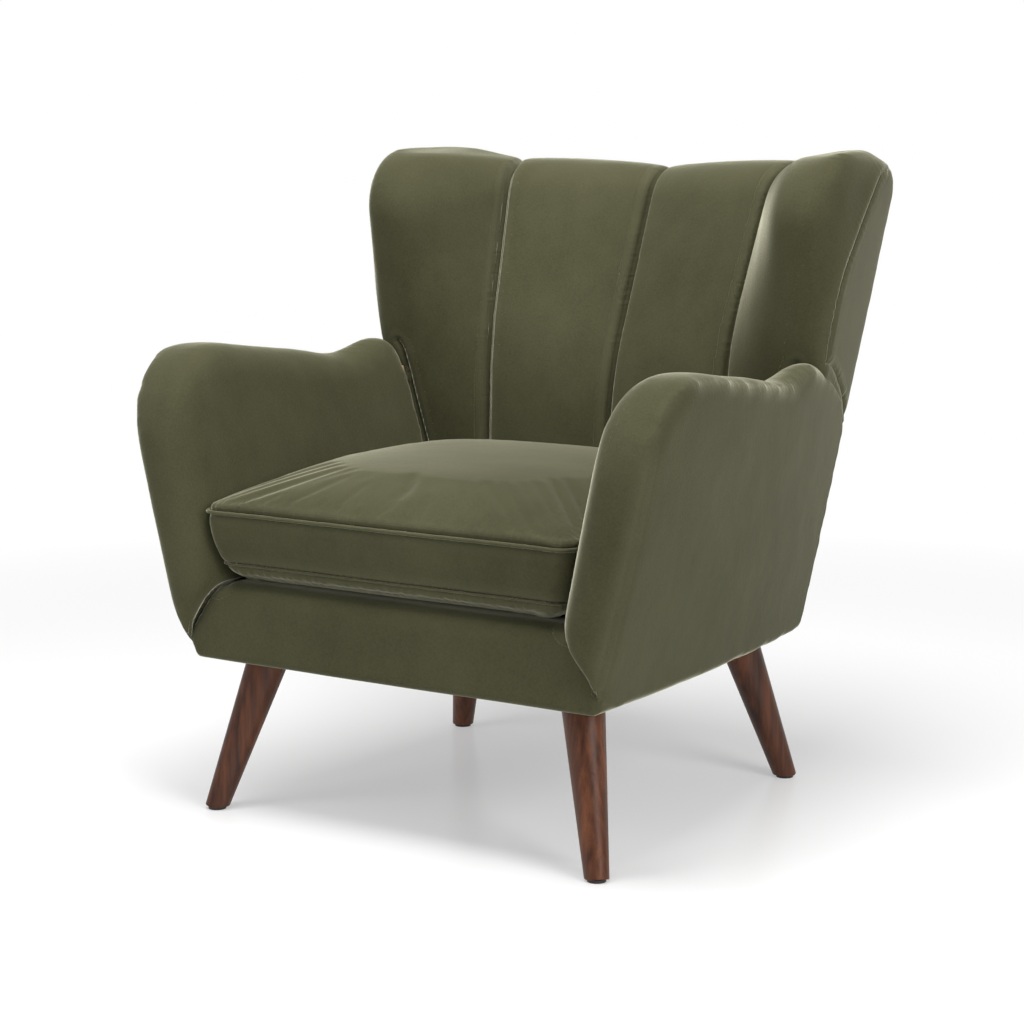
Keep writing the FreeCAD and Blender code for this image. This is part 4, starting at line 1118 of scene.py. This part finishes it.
PAIRED_FRAME_PARTS = ("side_seat_rail", "back_post", "wing_board", "arm_post", "arm_rail")
SHOWN_SOLIDS = {
    "leg_wood": [f"leg_{end}_{side}" for end in ("front", "rear") for side in Side],
    "glide_plastic": ["leg_glides"],
    "steel": ["leg_plates", "hanger_bolts", "seat_springs", "spring_clips", "zip_slider", "zip_pull"],
    "frame_wood": [
        "front_seat_rail", "rear_seat_rail", "corner_blocks", "back_top_rail", "back_low_rail", "back_stile",
        *(f"{part}_{side}" for part in PAIRED_FRAME_PARTS for side in Side),
    ],
}


@dataclass
class Studio:
    """Pale floor, soft lamps and the camera."""

    lens: float = 86.57
    azimuth: float = 32.75
    elevation: float = 9.13
    distance: float = 3.341
    target: Colour = (0.0, -0.066, 0.395)
    lamp_target: Colour = (0.0, 0.0, 0.4)
    air: float = 0.25
    floor_size: float = 30.0
    floor_glow: float = 0.34
    floor_fade: Pair = (0.9, 2.2)

    def camera(self) -> None:
        """Sets the camera at the photograph's angle."""
        data = bpy.data.cameras.new("camera")
        data.lens = self.lens
        camera = placed("camera", data)
        turn, rise = math.radians(self.azimuth), math.radians(self.elevation)
        away = Vector((math.sin(turn) * math.cos(rise), -math.cos(turn) * math.cos(rise), math.sin(rise)))
        camera.location = Vector(self.target) + away * self.distance
        camera.rotation_euler = (-away).to_track_quat("-Z", "Y").to_euler()
        bpy.context.scene.camera = camera

    def lamp(self, name: str, place: Colour, size: float, power: float) -> None:
        """Adds one soft square lamp that looks at the chair."""
        data = bpy.data.lights.new(name, "AREA")
        data.energy = power
        data.size = size
        lamp = placed(name, data)
        lamp.location = place
        lamp.rotation_euler = (Vector(self.lamp_target) - lamp.location).to_track_quat("-Z", "Y").to_euler()

    def floor(self) -> None:
        """Lays a wide pale floor that keeps the chair's shadow and fades to white."""
        mesh = bmesh.new()
        bmesh.ops.create_grid(mesh, x_segments=1, y_segments=1, size=self.floor_size)
        data = bpy.data.meshes.new("studio_floor")
        mesh.to_mesh(data)
        mesh.free()
        floor = placed("studio_floor", data)
        graph = paint("studio_paper")
        graph.surface(Base_Color=(0.8, 0.8, 0.8, 1.0), Roughness=0.22, Specular_IOR_Level=0.35)
        seen = graph.seen_by("Camera", "Glossy", "Transmission")
        glow = graph.node("Emission", WHITE, graph.times(seen, self.floor_glow)).outputs[0]
        lit = graph.node("AddShader", graph.shader.outputs[0], glow).outputs[0]
        far = graph.node("VectorMath", graph.place)
        far.operation = "LENGTH"
        fade = graph.times(graph.span(far.outputs["Value"], *self.floor_fade, 0.0, 1.0), seen)
        blend = graph.node("MixShader", fade, lit, graph.node("Emission", WHITE, 1.0).outputs[0])
        graph.join(blend.outputs[0], graph.tree.nodes["Material Output"].inputs["Surface"])
        data.materials.append(graph.owner)

    def world(self) -> None:
        """Sets an even pale surround that the camera sees as white."""
        graph = Graph(bpy.data.worlds.new("studio_air"), "Background")
        seen = graph.seen_by("Camera", "Transmission")
        graph.surface(Color=WHITE, Strength=graph.span(seen, 0.0, 1.0, self.air, 1.0))
        bpy.context.scene.world = graph.owner

    def build(self) -> None:
        """Sets up the whole studio."""
        bpy.context.scene.view_settings.view_transform = "Standard"
        self.camera()
        self.floor()
        self.world()
        self.lamp("overhead", (0.0, -0.5, 3.0), 1.8, 90.0)
        self.lamp("right", (3.1, -1.1, 1.7), 1.5, 54.0)
        self.lamp("front_left", (-1.7, -2.9, 1.9), 1.6, 24.0)


def main() -> None:
    """Builds the chair's pieces in order."""
    logging.basicConfig(level=logging.INFO, format="%(message)s")
    Studio().build()
    finishes = Finishes()
    finishes.dress_solids(SHOWN_SOLIDS)
    for group in (Back(), Wings(), Arms(), FrontRail(), Cushion(), Linings()):
        group.build(finishes)
        log.info("built %s", type(group).__name__)


if __name__ == "__main__":
    main()
